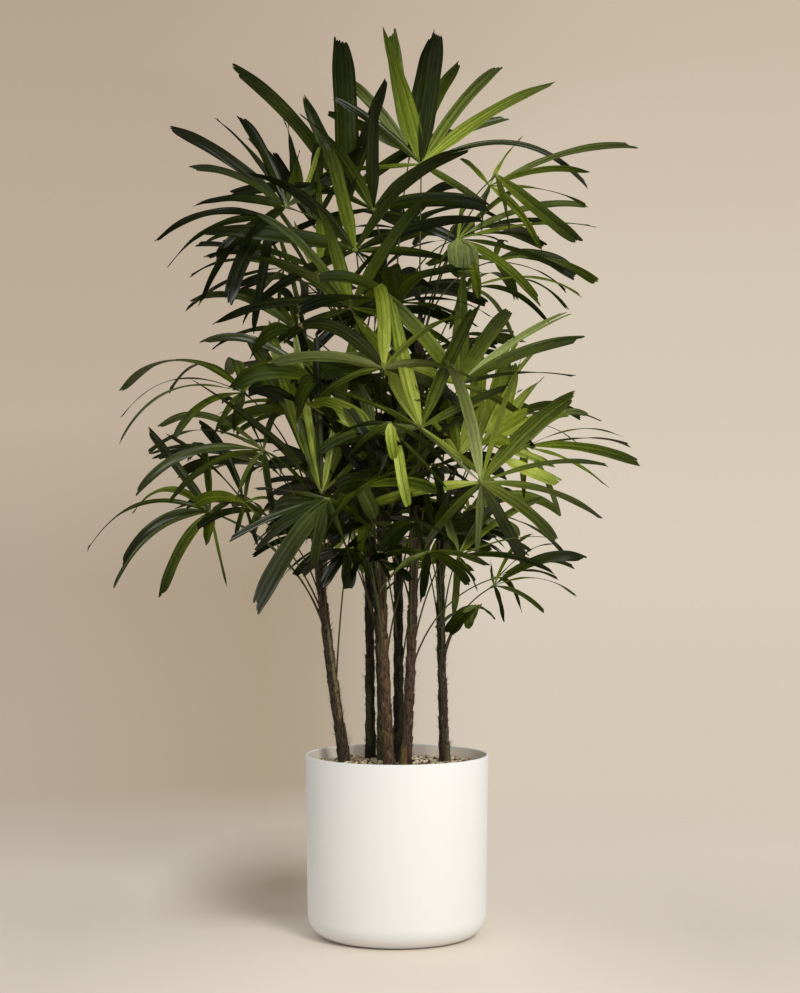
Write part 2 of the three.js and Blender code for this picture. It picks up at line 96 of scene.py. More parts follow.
# A material under construction: node() adds any node, and the rest are the few used most. above and below are
# masks from 0 to 1 that rise past an edge, or under it, as fast as their gain.
class Finish:
    def __init__(self, name):
        self.material = bpy.data.materials.new(name)
        self.material.use_nodes = True
        self.tree = self.material.node_tree
        self.tree.nodes.clear()

    def node(self, kind, settings, inputs, output=0):
        made = self.tree.nodes.new("ShaderNode" + kind)
        for key, value in settings.items():
            if key == "stops":
                while len(made.color_ramp.elements) < len(value):
                    made.color_ramp.elements.new(1)
                for element, (place, colour) in zip(made.color_ramp.elements, value):
                    element.position, element.color = place, (*colour, 1)
            else:
                setattr(made, key, value)
        for key, value in inputs.items():
            if isinstance(value, Number):
                self.tree.links.new(value.socket, made.inputs[key])
            elif made.inputs[key].type == "RGBA":
                made.inputs[key].default_value = (*value, 1)
            else:
                made.inputs[key].default_value = value
        return Number(self, made.outputs[output] if made.outputs else None)

    def maths(self, operation, a, b=0.0):
        return self.node("Math", {"operation": operation}, {0: a, 1: b})

    def clamped(self, value):
        return self.node("Clamp", {}, {"Value": value})

    def above(self, value, edge, gain):
        return self.clamped((value - edge) * gain)

    def below(self, value, edge, gain):
        return self.clamped((edge - value) * gain)

    def place(self, squeeze=(1, 1, 1)):
        spot = self.node("TexCoord", {}, {}, "Object")
        return self.node("Mapping", {}, {"Vector": spot, "Scale": squeeze})

    def noise(self, place, scale, detail, roughness):
        inputs = {"Vector": place, "Scale": scale, "Detail": detail, "Roughness": roughness}
        return self.node("TexNoise", {}, inputs, "Fac")

    def ramp(self, value, stops):
        return self.node("ValToRGB", {"stops": stops}, {"Fac": value}, "Color")

    def blend(self, share, a, b):
        return self.node("Mix", {"data_type": "RGBA"}, {0: share, 6: a, 7: b}, 2)

    def stored(self, name):
        return self.node("Attribute", {"attribute_name": name}, {}, "Fac")

    def bump(self, height, strength, distance):
        return self.node("Bump", {}, {"Height": height, "Strength": strength, "Distance": distance})

    def surface(self, shader):
        self.node("OutputMaterial", {}, {"Surface": shader})
        return self.material

    def skin(self, colour, roughness, shine=0.4, normal=None):
        inputs = {"Base Color": colour, "Roughness": roughness, "Specular IOR Level": shine}
        return self.node("BsdfPrincipled", {}, {**inputs, **({"Normal": normal} if normal else {})})


# Arrays and meshes. A shell is points, faces and a finish number for each face.
def unit(v):
    return v / np.linalg.norm(v, axis=-1, keepdims=True)


def mixed(a, b, t):
    return a + (b - a) * t


def eased(x, low, high):
    t = np.clip((x - low) / (high - low), 0, 1)
    return t * t * (3 - 2 * t)


# A vector turned by an angle about an axis: v cos + (axis x v) sin + axis (axis . v)(1 - cos).
def turned(v, axis, angle):
    cos, sin = np.cos(angle)[..., None], np.sin(angle)[..., None]
    along = (axis * v).sum(-1, keepdims=True)
    return v * cos + np.cross(axis, v) * sin + axis * along * (1 - cos)


# A repeatable number from 0 to 1: the fraction of a large multiple of a sine.
def dice(a, b, c):
    x = np.sin(a * 12.9898 + b * 78.233 + c * 37.719) * 43758.5453
    return x - np.floor(x)


# Smooth noise from -1 to 1: dice at the corners of a square grid, eased between them. It repeats after wrap
# squares of x, so that it closes round a cane.
def hills(x, y, seed, wrap):
    i, j = np.floor(x), np.floor(y)
    u, v = eased(x - i, 0, 1), eased(y - j, 0, 1)
    corner = lambda a, b: dice(np.mod(i + a, wrap), j + b, seed)
    low, high = mixed(corner(0, 0), corner(1, 0), u), mixed(corner(0, 1), corner(1, 1), u)
    return 2 * mixed(low, high, v) - 1


# The quads between the rows and columns of a grid of points. closed joins the last column to the first, and
# flipped turns the faces over.
def gridShell(points, tones, closed=False, flipped=False):
    rows, columns = points.shape[:2]
    i, j = np.meshgrid(np.arange(rows - 1), np.arange(columns - (not closed)), indexing="ij")
    beside = (j + 1) % columns
    a, b, c, d = i * columns + j, i * columns + beside, (i + 1) * columns + beside, (i + 1) * columns + j
    quads = np.stack([a, d, c, b] if flipped else [a, b, c, d], -1).reshape(-1, 4)
    return points.reshape(-1, 3), quads, np.broadcast_to(tones, i.shape).reshape(-1)


# A ring of points filled with triangles to a point in its middle.
def capShell(ring, middle, tone, flipped=False):
    j = np.arange(len(ring))
    beside = (j + 1) % len(ring)
    hub = np.full(len(ring), len(ring))
    tris = np.stack([beside, j, hub] if flipped else [j, beside, hub], -1)
    return np.vstack([ring, middle]), tris, np.full(len(ring), tone)


# A round tube along a path: centre + radius * (across * cos(turn) + other * sin(turn)), with across and other
# square to the path.
def tubeRings(path, radii, sides, upright=(0, -1, 0)):
    along = unit(np.gradient(path, axis=0))
    across = unit(np.cross(np.broadcast_to(upright, along.shape), along))
    other = np.cross(along, across)
    turn = np.linspace(0, 2 * np.pi, sides, endpoint=False)[None, :, None]
    radii = np.broadcast_to(np.asarray(radii, float).reshape(len(path), -1), (len(path), sides))[..., None]
    return path[:, None] + radii * (across[:, None] * np.cos(turn) + other[:, None] * np.sin(turn))


# Shells joined into one mesh object, which rides on the body and stands for the named nodes. stored holds
# values for its points, for the finishes to read.
def addPiece(name, shells, finishes, replaced, stored=None):
    mesh = bpy.data.meshes.new(name)
    starts = np.cumsum([0] + [len(points) for points, _, _ in shells])
    corners = [(faces + start).reshape(-1) for (_, faces, _), start in zip(shells, starts)]
    sizes = np.concatenate([np.full(len(faces), faces.shape[1]) for _, faces, _ in shells])
    points = np.concatenate([points for points, _, _ in shells]) / perMetre
    corners = np.concatenate(corners).astype(np.int32)
    mesh.vertices.add(len(points))
    mesh.vertices.foreach_set("co", points.astype(np.float32).ravel())
    mesh.loops.add(len(corners))
    mesh.loops.foreach_set("vertex_index", corners)
    mesh.polygons.add(len(sizes))
    mesh.polygons.foreach_set("loop_start", (np.cumsum(sizes) - sizes).astype(np.int32))
    mesh.update(calc_edges=True)
    for finish in finishes:
        mesh.materials.append(finish)
    tones = np.concatenate([tones for _, _, tones in shells])
    mesh.polygons.foreach_set("material_index", tones.astype(np.int32))
    mesh.polygons.foreach_set("use_smooth", np.full(len(sizes), True))
    for key, values in (stored or {}).items():
        attribute = mesh.attributes.new(key, "FLOAT", "POINT")
        attribute.data.foreach_set("value", values.astype(np.float32).ravel())
    mesh.update()
    piece = bpy.data.objects.new(name, mesh)
    scene.collection.objects.link(piece)
    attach(piece, "root")
    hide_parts(*replaced)
    triangles = int((sizes - 2).sum())
    print(f"{name}: {triangles} triangles")


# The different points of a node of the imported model, in millimetres.
def nodePoints(name):
    mesh = nodes[name].data
    points = np.empty(len(mesh.vertices) * 3, np.float32)
    mesh.vertices.foreach_get("co", points)
    return np.unique(np.round(points.reshape(-1, 3).astype(float) * perMetre, 3), axis=0)


planter = {"height": 351, "rim": 177.5, "waist": 173, "foot": 128, "footRise": 44, "wall": 5, "floor": 9}
bed = {"gap": 0.3, "soilTop": 316, "depth": 14, "mound": 5}
caneRule = {"flare": 2.5, "below": 14, "spans": 6}
# A leaf's values where its own line gives no other. fan is the whole fan's angle, reach its longest finger.
leafRule = {"roll": 0, "fingers": 8, "reach": 260, "fan": 225, "sag": 0.9, "tilt": 10, "stalk": 285,
            "leastRise": 80, "nodeSpace": 22, "nodeStep": 2, "tipSpace": 12, "ribWidth": 8.5, "edgeWidth": 3,
            "ribs": 3.8, "ribsOuter": 0.5, "ribsSpread": 1.8, "outerShare": 0.72, "thickness": 0.011,
            "cup": 9, "cupSpread": 10, "leanSpread": 26, "sagPower": 1.6, "steps": 24}
stalkRule = {"ways": 9, "wayTurn": 40, "bulge": 0.28, "steep": 0.9, "lift": 20}
giveWay = {"tries": 17, "degrees": 3.6, "goldenAngle": 137.5, "lengths": [1, 0.8, 0.6]}
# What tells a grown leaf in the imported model: its stalk's radii at each third, and the points across its
# fingers at two steps, with the least height of the ridge and how near a point counts as found.
packedMarks = {"stalkRadii": [[2.93], [2.47]], "steps": (16, 24), "leastRidge": 1.6, "near": 0.6}

# The canes. turn is the compass heading of a fan's middle finger (0 along +X, 90 to the back), tilt its rise,
# roll the fan's lean about it. fingers is a number of them, or their angles in the fan, lengths and sags.
canes = {
    "left": {
        "foot": [-98, 28], "mid": [-139, 22, 600], "tip": [-172, 12, 915], "girth": [11, 7.5],
        "leaves": [
            {"hub": [-298, 25, 1052], "turn": 186, "tilt": 18, "roll": -32, "fingers": 9, "reach": 285,
             "fan": 190, "sag": 1.8, "ribs": 2.5},
            {"hub": [-160, 245, 1015], "turn": 105, "tilt": 20, "fingers": 8},
            {"hub": [-254, -75, 938], "turn": 200, "tilt": 2, "roll": -38, "fingers": 9, "reach": 285,
             "fan": 230, "sag": 1.1, "ribs": 3},
            {"hub": [-250, 190, 905], "turn": 140, "tilt": 10, "fingers": 8},
            {"hub": [-138, -80, 862], "turn": 270, "tilt": 78, "fingers": [-48, -26, -10, 2, 17, 45],
             "reach": 345, "sag": 0.2, "stalk": 230},
            {"hub": [-127, -190, 846], "turn": 230, "tilt": -38, "roll": -30, "reach": 300, "sag": 0.5,
             "stalk": 240,
             "fingers": [[-62, 0.6], [-34, 0.75], [-16, 0.8], 2, [22, 0.6], [46, 0.66], [78, 0.5]]},
            {"hub": [-293, -45, 838], "turn": 225, "tilt": 25, "roll": -55, "fingers": 8, "reach": 210,
             "fan": 270, "sag": 0.8, "ribs": 2.6, "stalk": 230},
            {"hub": [-366, 40, 820], "turn": 190, "tilt": 14, "roll": -60, "reach": 256, "sag": 1.7,
             "ribs": 2.4, "stalk": 255,
             "fingers": [[-72, 0.95], [-28, 0.75], [0, 1.15], [16, 0.9], [33, 1.1], [60, 0.85], [90, 0.5],
                         [114, 0.8]]},
        ],
    },
    "rear": {
        "foot": [-52, 104], "mid": [-56, 104, 700], "tip": [-66, 92, 1165], "girth": [9.5, 7],
        "leaves": [
            {"hub": [-98, 60, 1445], "turn": 252, "tilt": 70, "reach": 312, "sag": 0.3, "ribs": 4.2,
             "fingers": [[-84, 0.9], [-38, 1.15], [-18, 0.7], 0, [22, 0.8], [58, 0.8]]},
            {"hub": [15, 235, 1395], "turn": 75, "tilt": 35, "fingers": 8},
            {"hub": [-243, 15, 1392], "turn": 195, "tilt": -2, "roll": -55, "reach": 270, "sag": 1.3,
             "ribs": 3.2,
             "fingers": [[-118, 0.5], [-8, 1], [8, 0.95], [24, 0.6], [38, 1], [52, 0.9], [72, 1.05],
                         [92, 1.1], [118, 0.8]]},
            {"hub": [-200, 200, 1290], "turn": 140, "tilt": 16, "roll": 20, "fingers": 8},
            {"hub": [-192, -40, 1168], "turn": 215, "tilt": 5, "roll": -45, "fingers": 7, "reach": 235,
             "fan": 200, "sag": 1.2, "stalk": 250},
            {"hub": [40, 315, 1125], "turn": 80, "tilt": -12, "roll": -15, "fingers": 8},
            {"hub": [-125, 280, 1075], "turn": 115, "tilt": 20, "roll": 15, "fingers": 7},
        ],
    },
    "thin": {
        "foot": [-31, 62], "mid": [-36, 66, 560], "tip": [-52, 60, 800], "girth": [7, 5.5],
        "leaves": [
            {"hub": [55, 265, 960], "turn": 70, "tilt": 25, "fingers": 7},
            {"hub": [40, 118, 885], "turn": 15, "tilt": 10, "fingers": 7, "reach": 215},
            {"hub": [-87, -15, 866], "turn": 270, "tilt": 75, "fingers": [-55, -18, 17, 50], "reach": 200,
             "sag": 0.4},
            {"hub": [-45, 295, 850], "turn": 98, "tilt": -14, "roll": 12, "fingers": 7},
            {"hub": [-120, 190, 800], "turn": 130, "tilt": 5, "fingers": 7, "reach": 205},
        ],
    },
    "fibrous": {
        "foot": [-13, -22], "mid": [-27, -20, 600], "tip": [-34, -26, 1010], "girth": [11, 7],
        "leaves": [
            {"hub": [-86, -150, 1203], "turn": 270, "tilt": 60, "reach": 262, "sag": 0.6,
             "fingers": [[-118, 0.9], [-86, 1.05], -56, -36, [-13, 0.8], 28, 62, [105, 0.8]]},
            {"hub": [-24, -230, 1085], "turn": 268, "tilt": 45, "fingers": 7, "reach": 230, "fan": 230},
            {"hub": [-149, -150, 1066], "turn": 220, "tilt": 10, "roll": -40, "fingers": 7, "reach": 240,
             "fan": 240, "sag": 0.9},
            {"hub": [-143, -50, 1050], "turn": 330, "tilt": 10, "fingers": 5, "reach": 230, "fan": 130,
             "sag": 1.0},
            {"hub": [-12, -225, 985], "turn": 275, "tilt": -40, "fingers": 5, "reach": 160, "fan": 150,
             "sag": 0.5},
            {"hub": [-65, -165, 866], "turn": 300, "tilt": -10, "roll": 30, "fingers": 6, "reach": 200,
             "fan": 180, "sag": 0.6},
            {"hub": [-84, -120, 753], "turn": 262, "tilt": -45, "fingers": 5, "reach": 125, "fan": 150,
             "stalk": 190},
        ],
    },
    "dark": {
        "foot": [4, 42], "mid": [2, 42, 700], "tip": [-4, 38, 1225], "girth": [10, 7],
        "leaves": [
            {"hub": [26, 90, 1530], "turn": 98, "tilt": 68, "reach": 272, "sag": 0.2, "ribs": 3.6,
             "fingers": [[66, 0.7], [38, 0.75], [5, 1], [-11, 1.05], [-28, 0.85], [-66, 0.8]]},
            {"hub": [-212, -60, 1404], "turn": 195, "tilt": 42, "roll": -60, "reach": 288, "sag": 0.45,
             "fingers": [[-100, 0.7], [-66, 0.5], [-28, 0.72], [-12, 0.78], 8, [24, 0.8], [48, 0.85],
                         [80, 0.7]]},
            {"hub": [-46, -30, 1402], "turn": 262, "tilt": 60, "fingers": [-100, -60, -25, 4, 50, 80, 110],
             "reach": 235, "sag": 0.6},
            {"hub": [120, 230, 1375], "turn": 60, "tilt": 20, "fingers": 8, "reach": 245},
            {"hub": [-79, -115, 1314], "turn": 270, "tilt": 62, "reach": 268, "sag": 0.6,
             "fingers": [[-108, 0.85], [-74, 1.1], -42, [-9, 0.8], 36, 62, 90, [125, 0.8]]},
            {"hub": [-30, 300, 1240], "turn": 95, "tilt": 28, "roll": -10, "fingers": 8},
        ],
    },
    "russet": {
        "foot": [15, -34], "mid": [30, -30, 620], "tip": [44, -26, 1195], "girth": [11, 7],
        "leaves": [
            {"hub": [47, -30, 1490], "turn": 280, "tilt": 64, "reach": 292, "sag": 0.35, "ribs": 4.6,
             "fingers": [[-94, 0.7], [-52, 0.75], [-17, 0.97], [3, 0.9], [35, 0.84], [51, 1.08],
                         [66, 1.3, 4], [116, 0.6]]},
            {"hub": [181, 20, 1455], "turn": 352, "tilt": 20, "roll": 45, "reach": 285, "sag": 0.55,
             "ribs": 3,
             "fingers": [[-105, 0.5], [-70, 0.95], [-36, 0.85], [-18, 0.8], [-2, 1.08], [48, 0.5],
                         [100, 0.5]]},
            {"hub": [116, -55, 1343], "turn": 342, "tilt": -2, "roll": 35, "fingers": 8, "reach": 285,
             "fan": 190, "sag": 0.6, "ribs": 3.2},
            {"hub": [195, 125, 1320], "turn": 35, "tilt": 16, "roll": 25, "fingers": 7, "reach": 215},
            {"hub": [138, -10, 1252], "turn": 350, "tilt": 8, "roll": 22, "fingers": 7, "reach": 270,
             "fan": 190, "sag": 1.4, "ribs": 2.4},
            {"hub": [-1, -170, 1210], "turn": 262, "tilt": 20, "fingers": 7, "reach": 220, "fan": 240,
             "sag": 0.9},
            {"hub": [45, -190, 978], "turn": 264, "tilt": 66, "reach": 262, "sag": 0.4, "ribs": 4.2,
             "fingers": [-104, -64, -31, -16, 22, 62, 128]},
        ],
    },
    "right": {
        "foot": [95, 46], "mid": [86, 44, 600], "tip": [85, 40, 905], "girth": [9.5, 7],
        "leaves": [
            {"hub": [118, -150, 1060], "turn": 272, "tilt": 64, "reach": 250, "sag": 0.4, "ribs": 3.6,
             "fingers": [-72, -38, 3, [30, 0.7], 51, 63, [78, 0.95], [112, 0.6]]},
            {"hub": [215, 200, 1000], "turn": 50, "tilt": 15, "fingers": 8, "reach": 240},
            {"hub": [249, 10, 946], "turn": 352, "tilt": 0, "roll": 35, "fingers": 8, "reach": 240,
             "fan": 170, "sag": 0.8, "ribs": 2.5},
            {"hub": [155, -60, 943], "turn": 335, "tilt": 58, "roll": 45, "fingers": 6, "reach": 230,
             "fan": 120, "sag": 0.4},
            {"hub": [156, -190, 876], "turn": 270, "tilt": 66, "reach": 250, "sag": 0.5, "ribs": 3.2,
             "fingers": [-145, -98, -48, -13, 14, 41, 70, 98, 126, 150, 182]},
            {"hub": [150, 275, 820], "turn": 70, "tilt": 18, "roll": 15, "fingers": 7},
            {"hub": [59, -120, 745], "turn": 268, "tilt": -30, "fingers": 5, "reach": 170, "fan": 170,
             "sag": 0.7, "stalk": 230},
            {"hub": [117, -105, 738], "turn": 345, "tilt": 14, "roll": 45, "fingers": 7, "reach": 205,
             "fan": 180, "sag": 0.7, "ribs": 2.8, "stalk": 240},
            {"hub": [189, 15, 676], "turn": 350, "tilt": 24, "roll": 32, "fingers": 6, "reach": 205,
             "fan": 160, "sag": 0.9, "ribs": 2.4, "stalk": 170},
            {"hub": [150, -60, 641], "turn": 235, "tilt": -35, "reach": 100, "sag": 0.8, "stalk": 130,
             "fingers": [[-50, 0.9], [-12, 1], [26, 0.9], [70, 0.7]]},
        ],
    },
}
rad = math.radians


# The height of the bed's bumps: one slow and one quick pair of crossed sines.
def bumps(x, y):
    return np.sin(x / 17 + 1) * np.cos(y / 21) + 0.5 * np.sin(x / 9 - y / 12)


# A cane's axis: a Catmull-Rom curve through its foot, middle and tip, t from 0 to 1.
def caneAxis(cane, t):
    knots = np.array([[*cane["foot"], bed["soilTop"] - caneRule["below"]], cane["mid"], cane["tip"]], float)
    knots = np.vstack([2 * knots[0] - knots[1], knots, 2 * knots[2] - knots[1]])
    spot = np.clip(np.asarray(t, float), 0, 1) * 2
    first = np.minimum(spot.astype(int), 1)
    w = (spot - first)[..., None]
    a, b, c, d = (knots[first + i] for i in range(4))
    out, into = (c - a) / 2, (d - b) / 2
    return b + out * w + (3 * c - 3 * b - 2 * out - into) * w**2 + (2 * b - 2 * c + out + into) * w**3


# Where on a cane's curve its axis reaches a height, by halving.
def caneSpot(cane, height, halvings=24):
    low, high = 0.0, 1.0
    for _ in range(halvings):
        middle = (low + high) / 2
        low, high = (middle, high) if caneAxis(cane, middle)[2] < height else (low, middle)
    return low


# A leaf with all its values: the fan's frame, and an angle, a length and a sag for each finger.
def leafOf(given):
    leaf = {**leafRule, **given, "hub": np.array(given["hub"], float)}
    leaf["seed"] = given["hub"][0] + 3 * given["hub"][2]
    turn, tilt = rad(leaf["turn"]), rad(leaf["tilt"])
    middle = np.array([math.cos(turn) * math.cos(tilt), math.sin(turn) * math.cos(tilt), math.sin(tilt)])
    left = turned(np.array([-math.sin(turn), math.cos(turn), 0]), middle, np.array(rad(leaf["roll"])))
    leaf["frame"] = middle, left, np.cross(middle, left)
    if isinstance(leaf["fingers"], list):
        listed = [f if isinstance(f, list) else [f] for f in leaf["fingers"]]
        leaf["angles"] = np.array([f[0] for f in listed], float)
        leaf["lengths"] = np.array([f[1] if len(f) > 1 else 1 for f in listed])
        leaf["sags"] = np.array([f[2] if len(f) > 2 else 1 for f in listed])
        leaf["halfFan"] = np.abs(leaf["angles"]).max()
    else:
        finger = np.arange(leaf["fingers"])
        leaf["halfFan"] = leaf["fan"] / 2
        spacing = leaf["fan"] / (leaf["fingers"] - 1)
        leaf["angles"] = spacing * (finger + 0.4 * (dice(leaf["seed"], finger, 1) - 0.5)) - leaf["halfFan"]
    return leaf


# The height at which a leaf's stalk leaves its cane, a little apart from the stalks that are there already.
def stalkHeight(leaf, cane, starts):
    level = math.hypot(leaf["hub"][0] - cane["tip"][0], leaf["hub"][1] - cane["tip"][1])
    rise = math.sqrt(max(leaf["stalk"] ** 2 - level**2, leaf["leastRise"] ** 2))
    height = min(leaf["hub"][2] - rise, cane["tip"][2] - leaf["tipSpace"])
    while any(abs(taken - height) < leaf["nodeSpace"] for taken in starts):
        height -= leaf["nodeStep"]
    starts.append(height)
    return height


# The stalk's curve at t: start (1-t)^2 + middle 2t(1-t) + hub t^2, whose middle point bulges up and back and
# is turned about the chord by a step for each way of giving way.
def stalkAxis(start, hub, way, t):
    chord = hub - start
    upward = stalkRule["steep"] * math.hypot(chord[0], chord[1]) + stalkRule["lift"]
    bulge = np.array([-chord[0], -chord[1], upward]) * stalkRule["bulge"]
    bulge = turned(bulge, unit(chord), np.array(rad(way * stalkRule["wayTurn"])))
    t = t[:, None]
    return start * (1 - t) ** 2 + ((start + hub) / 2 + bulge) * 2 * t * (1 - t) + hub * t**2


# The paths of all of a leaf's fingers, for every way of giving way (k) and every share of their length. A
# path leaves the hub along its heading and sags by a power of the way gone, and its side is carried along.
def fingerPaths(leaf):
    count, steps = len(leaf["angles"]), leaf["steps"]
    middle, left, out = leaf["frame"]
    finger = np.arange(count)[:, None]
    share, k = (grid.ravel()[None] for grid in np.meshgrid(giveWay["lengths"], np.arange(giveWay["tries"]),
                                                           indexing="ij"))
    chance = lambda kind: dice(leaf["seed"], finger, kind)
    across = leaf["angles"][:, None] / leaf["halfFan"]
    give, spiral = giveWay["degrees"] * np.sqrt(k), np.radians(giveWay["goldenAngle"] * k)
    angle = np.radians(leaf["angles"][:, None] + give * np.cos(spiral))[..., None]
    rise = np.radians(leaf["cup"] + leaf["cupSpread"] * (chance(2) - 0.5) + give * np.sin(spiral))[..., None]
    heading = (middle * np.cos(angle) + left * np.sin(angle)) * np.cos(rise) + out * np.sin(rise)
    lean = np.radians(leaf["leanSpread"] * (chance(3) - 0.5)) + 0 * k
    side = turned(left * np.cos(angle) - middle * np.sin(angle), heading, lean)
    taper = mixed(1, leaf["ribsOuter"], np.abs(across))
    ribs = np.floor(leaf["ribs"] * taper + leaf["ribsSpread"] * (chance(4) - 0.5) + 0.5)
    ribs = np.maximum(1, ribs).astype(int)
    if "lengths" in leaf:
        length, sags = leaf["lengths"][:, None], leaf["sags"][:, None]
    else:
        length, sags = (1 - (1 - leaf["outerShare"]) * across**2) * (0.9 + 0.2 * chance(5)), 1
    length = leaf["reach"] * length * share
    sag = leaf["sag"] * sags * (0.75 + 0.5 * chance(6))
    hang = (sag * (np.arange(steps + 1) / steps) ** leaf["sagPower"])[:, None, :, None]
    ways = unit(heading[:, :, None] - hang * np.array([0.0, 0.0, 1.0]))
    sides = [side]
    for i in range(steps + 1):
        sides.append(unit(sides[-1] - ways[:, :, i] * (sides[-1] * ways[:, :, i]).sum(-1, keepdims=True)))
    strides = (ways[:, :, :-1] + ways[:, :, 1:]) * length[..., None, None] / steps / 2
    points = leaf["hub"] + np.concatenate([0 * strides[:, :, :1], np.cumsum(strides, 2)], 2)
    width = ribs * leaf["ribWidth"] + leaf["edgeWidth"]
    return points, ways, np.stack(sides[1:], 2), width, length, ribs


# A finger's width along it, as a share of its widest: narrow at the hub, then a strap, then a blunt tip.
def strap(s):
    return (0.03 + 0.97 * eased(s, -0.02, 0.46)) * (1 - 0.66 * eased(s, 0.62, 1.02))


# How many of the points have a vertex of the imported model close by.
def found(points, vertices):
    apart = np.linalg.norm(points[..., None, :] - vertices, axis=-1).min(-1)
    return (apart < packedMarks["near"]).sum(-1)


# The leaf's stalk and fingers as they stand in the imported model, which settled how each one gives way.
def grownLeaf(leaf, start, vertices):
    thirds = np.array([1, 2]) / 3
    misses = []
    for way in range(stalkRule["ways"]):
        spots = stalkAxis(start, leaf["hub"], way, thirds)[:, None]
        apart = np.linalg.norm(spots - vertices, axis=-1)
        misses.append(np.abs(apart - packedMarks["stalkRadii"]).min(1).sum())
    leaf["way"] = int(np.argmin(misses))
    points, ways, sides, width, length, ribs = fingerPaths(leaf)
    ends = []
    for i in packedMarks["steps"]:
        out = np.cross(ways[:, :, i], sides[:, :, i])
        half = sides[:, :, i] * (width / 2 * strap(i / leaf["steps"]))[..., None]
        height = leaf["thickness"] * length * (1 - 0.5 * i / leaf["steps"])
        ridge = out * np.maximum(packedMarks["leastRidge"], height)[..., None]
        ends += [points[:, :, i] + half, points[:, :, i] - half, points[:, :, i] + ridge]
    score = found(np.stack(ends, 2), vertices)
    best = score.argmax(1)
    leaf["grown"] = [
        {"number": f, "points": points[f, b], "ways": ways[f, b], "sides": sides[f, b], "width": width[f, 0],
         "length": length[f, b], "ribs": int(ribs[f, 0])}
        for f, b in enumerate(best) if score[f, b] > 1
    ]
    return leaf


leaves = {}
for caneName, cane in canes.items():
    starts = []
    leaves[caneName] = []
    for number, given in enumerate(cane["leaves"], 1):
        leaf = leafOf(given)
        leaf["node"] = f"leaf_{caneName}_{number}"
        leaf["start"] = caneAxis(cane, caneSpot(cane, stalkHeight(leaf, cane, starts)))
        leaves[caneName].append(grownLeaf(leaf, leaf["start"], nodePoints(leaf["node"])))
grownFingers = sum(len(leaf["grown"]) for grown in leaves.values() for leaf in grown)
print("the rule is followed:", sum(map(len, leaves.values())), "leaves,", grownFingers, "fingers")


# Inner leaves: smaller fans close about the canes, dealt out up each cane by a golden-angle spiral, with
# a stalk and fingers by the same rule. For each cane: how many, and the lowest and highest hub.
innerLeaves = {
    "left": (4, 770, 900), "rear": (5, 800, 1250), "thin": (3, 740, 860), "fibrous": (6, 700, 1000),
    "dark": (6, 740, 1165), "russet": (7, 760, 1240), "right": (2, 700, 800),
}
# out is how far a hub lies from its cane's axis, clear how far the fingers keep from every cane, spin the
# turn from one cane's spiral to the next, and tones the share of leaves up to each tone.
innerLook = {"out": (45, 130), "reach": (150, 225), "tilt": (-15, 60), "sag": (0.5, 1.3), "fan": (150, 230),
             "fingers": 6, "moreFingers": 3, "ribs": 3.4, "stalk": 300, "spin": 77, "turnSpread": 40,
             "rollSpread": 60, "clear": 16,
             "tones": [(0.45, "deep"), (0.75, "dark"), (0.85, "slate"), (0.95, "mid"), (1.0, "fresh")]}
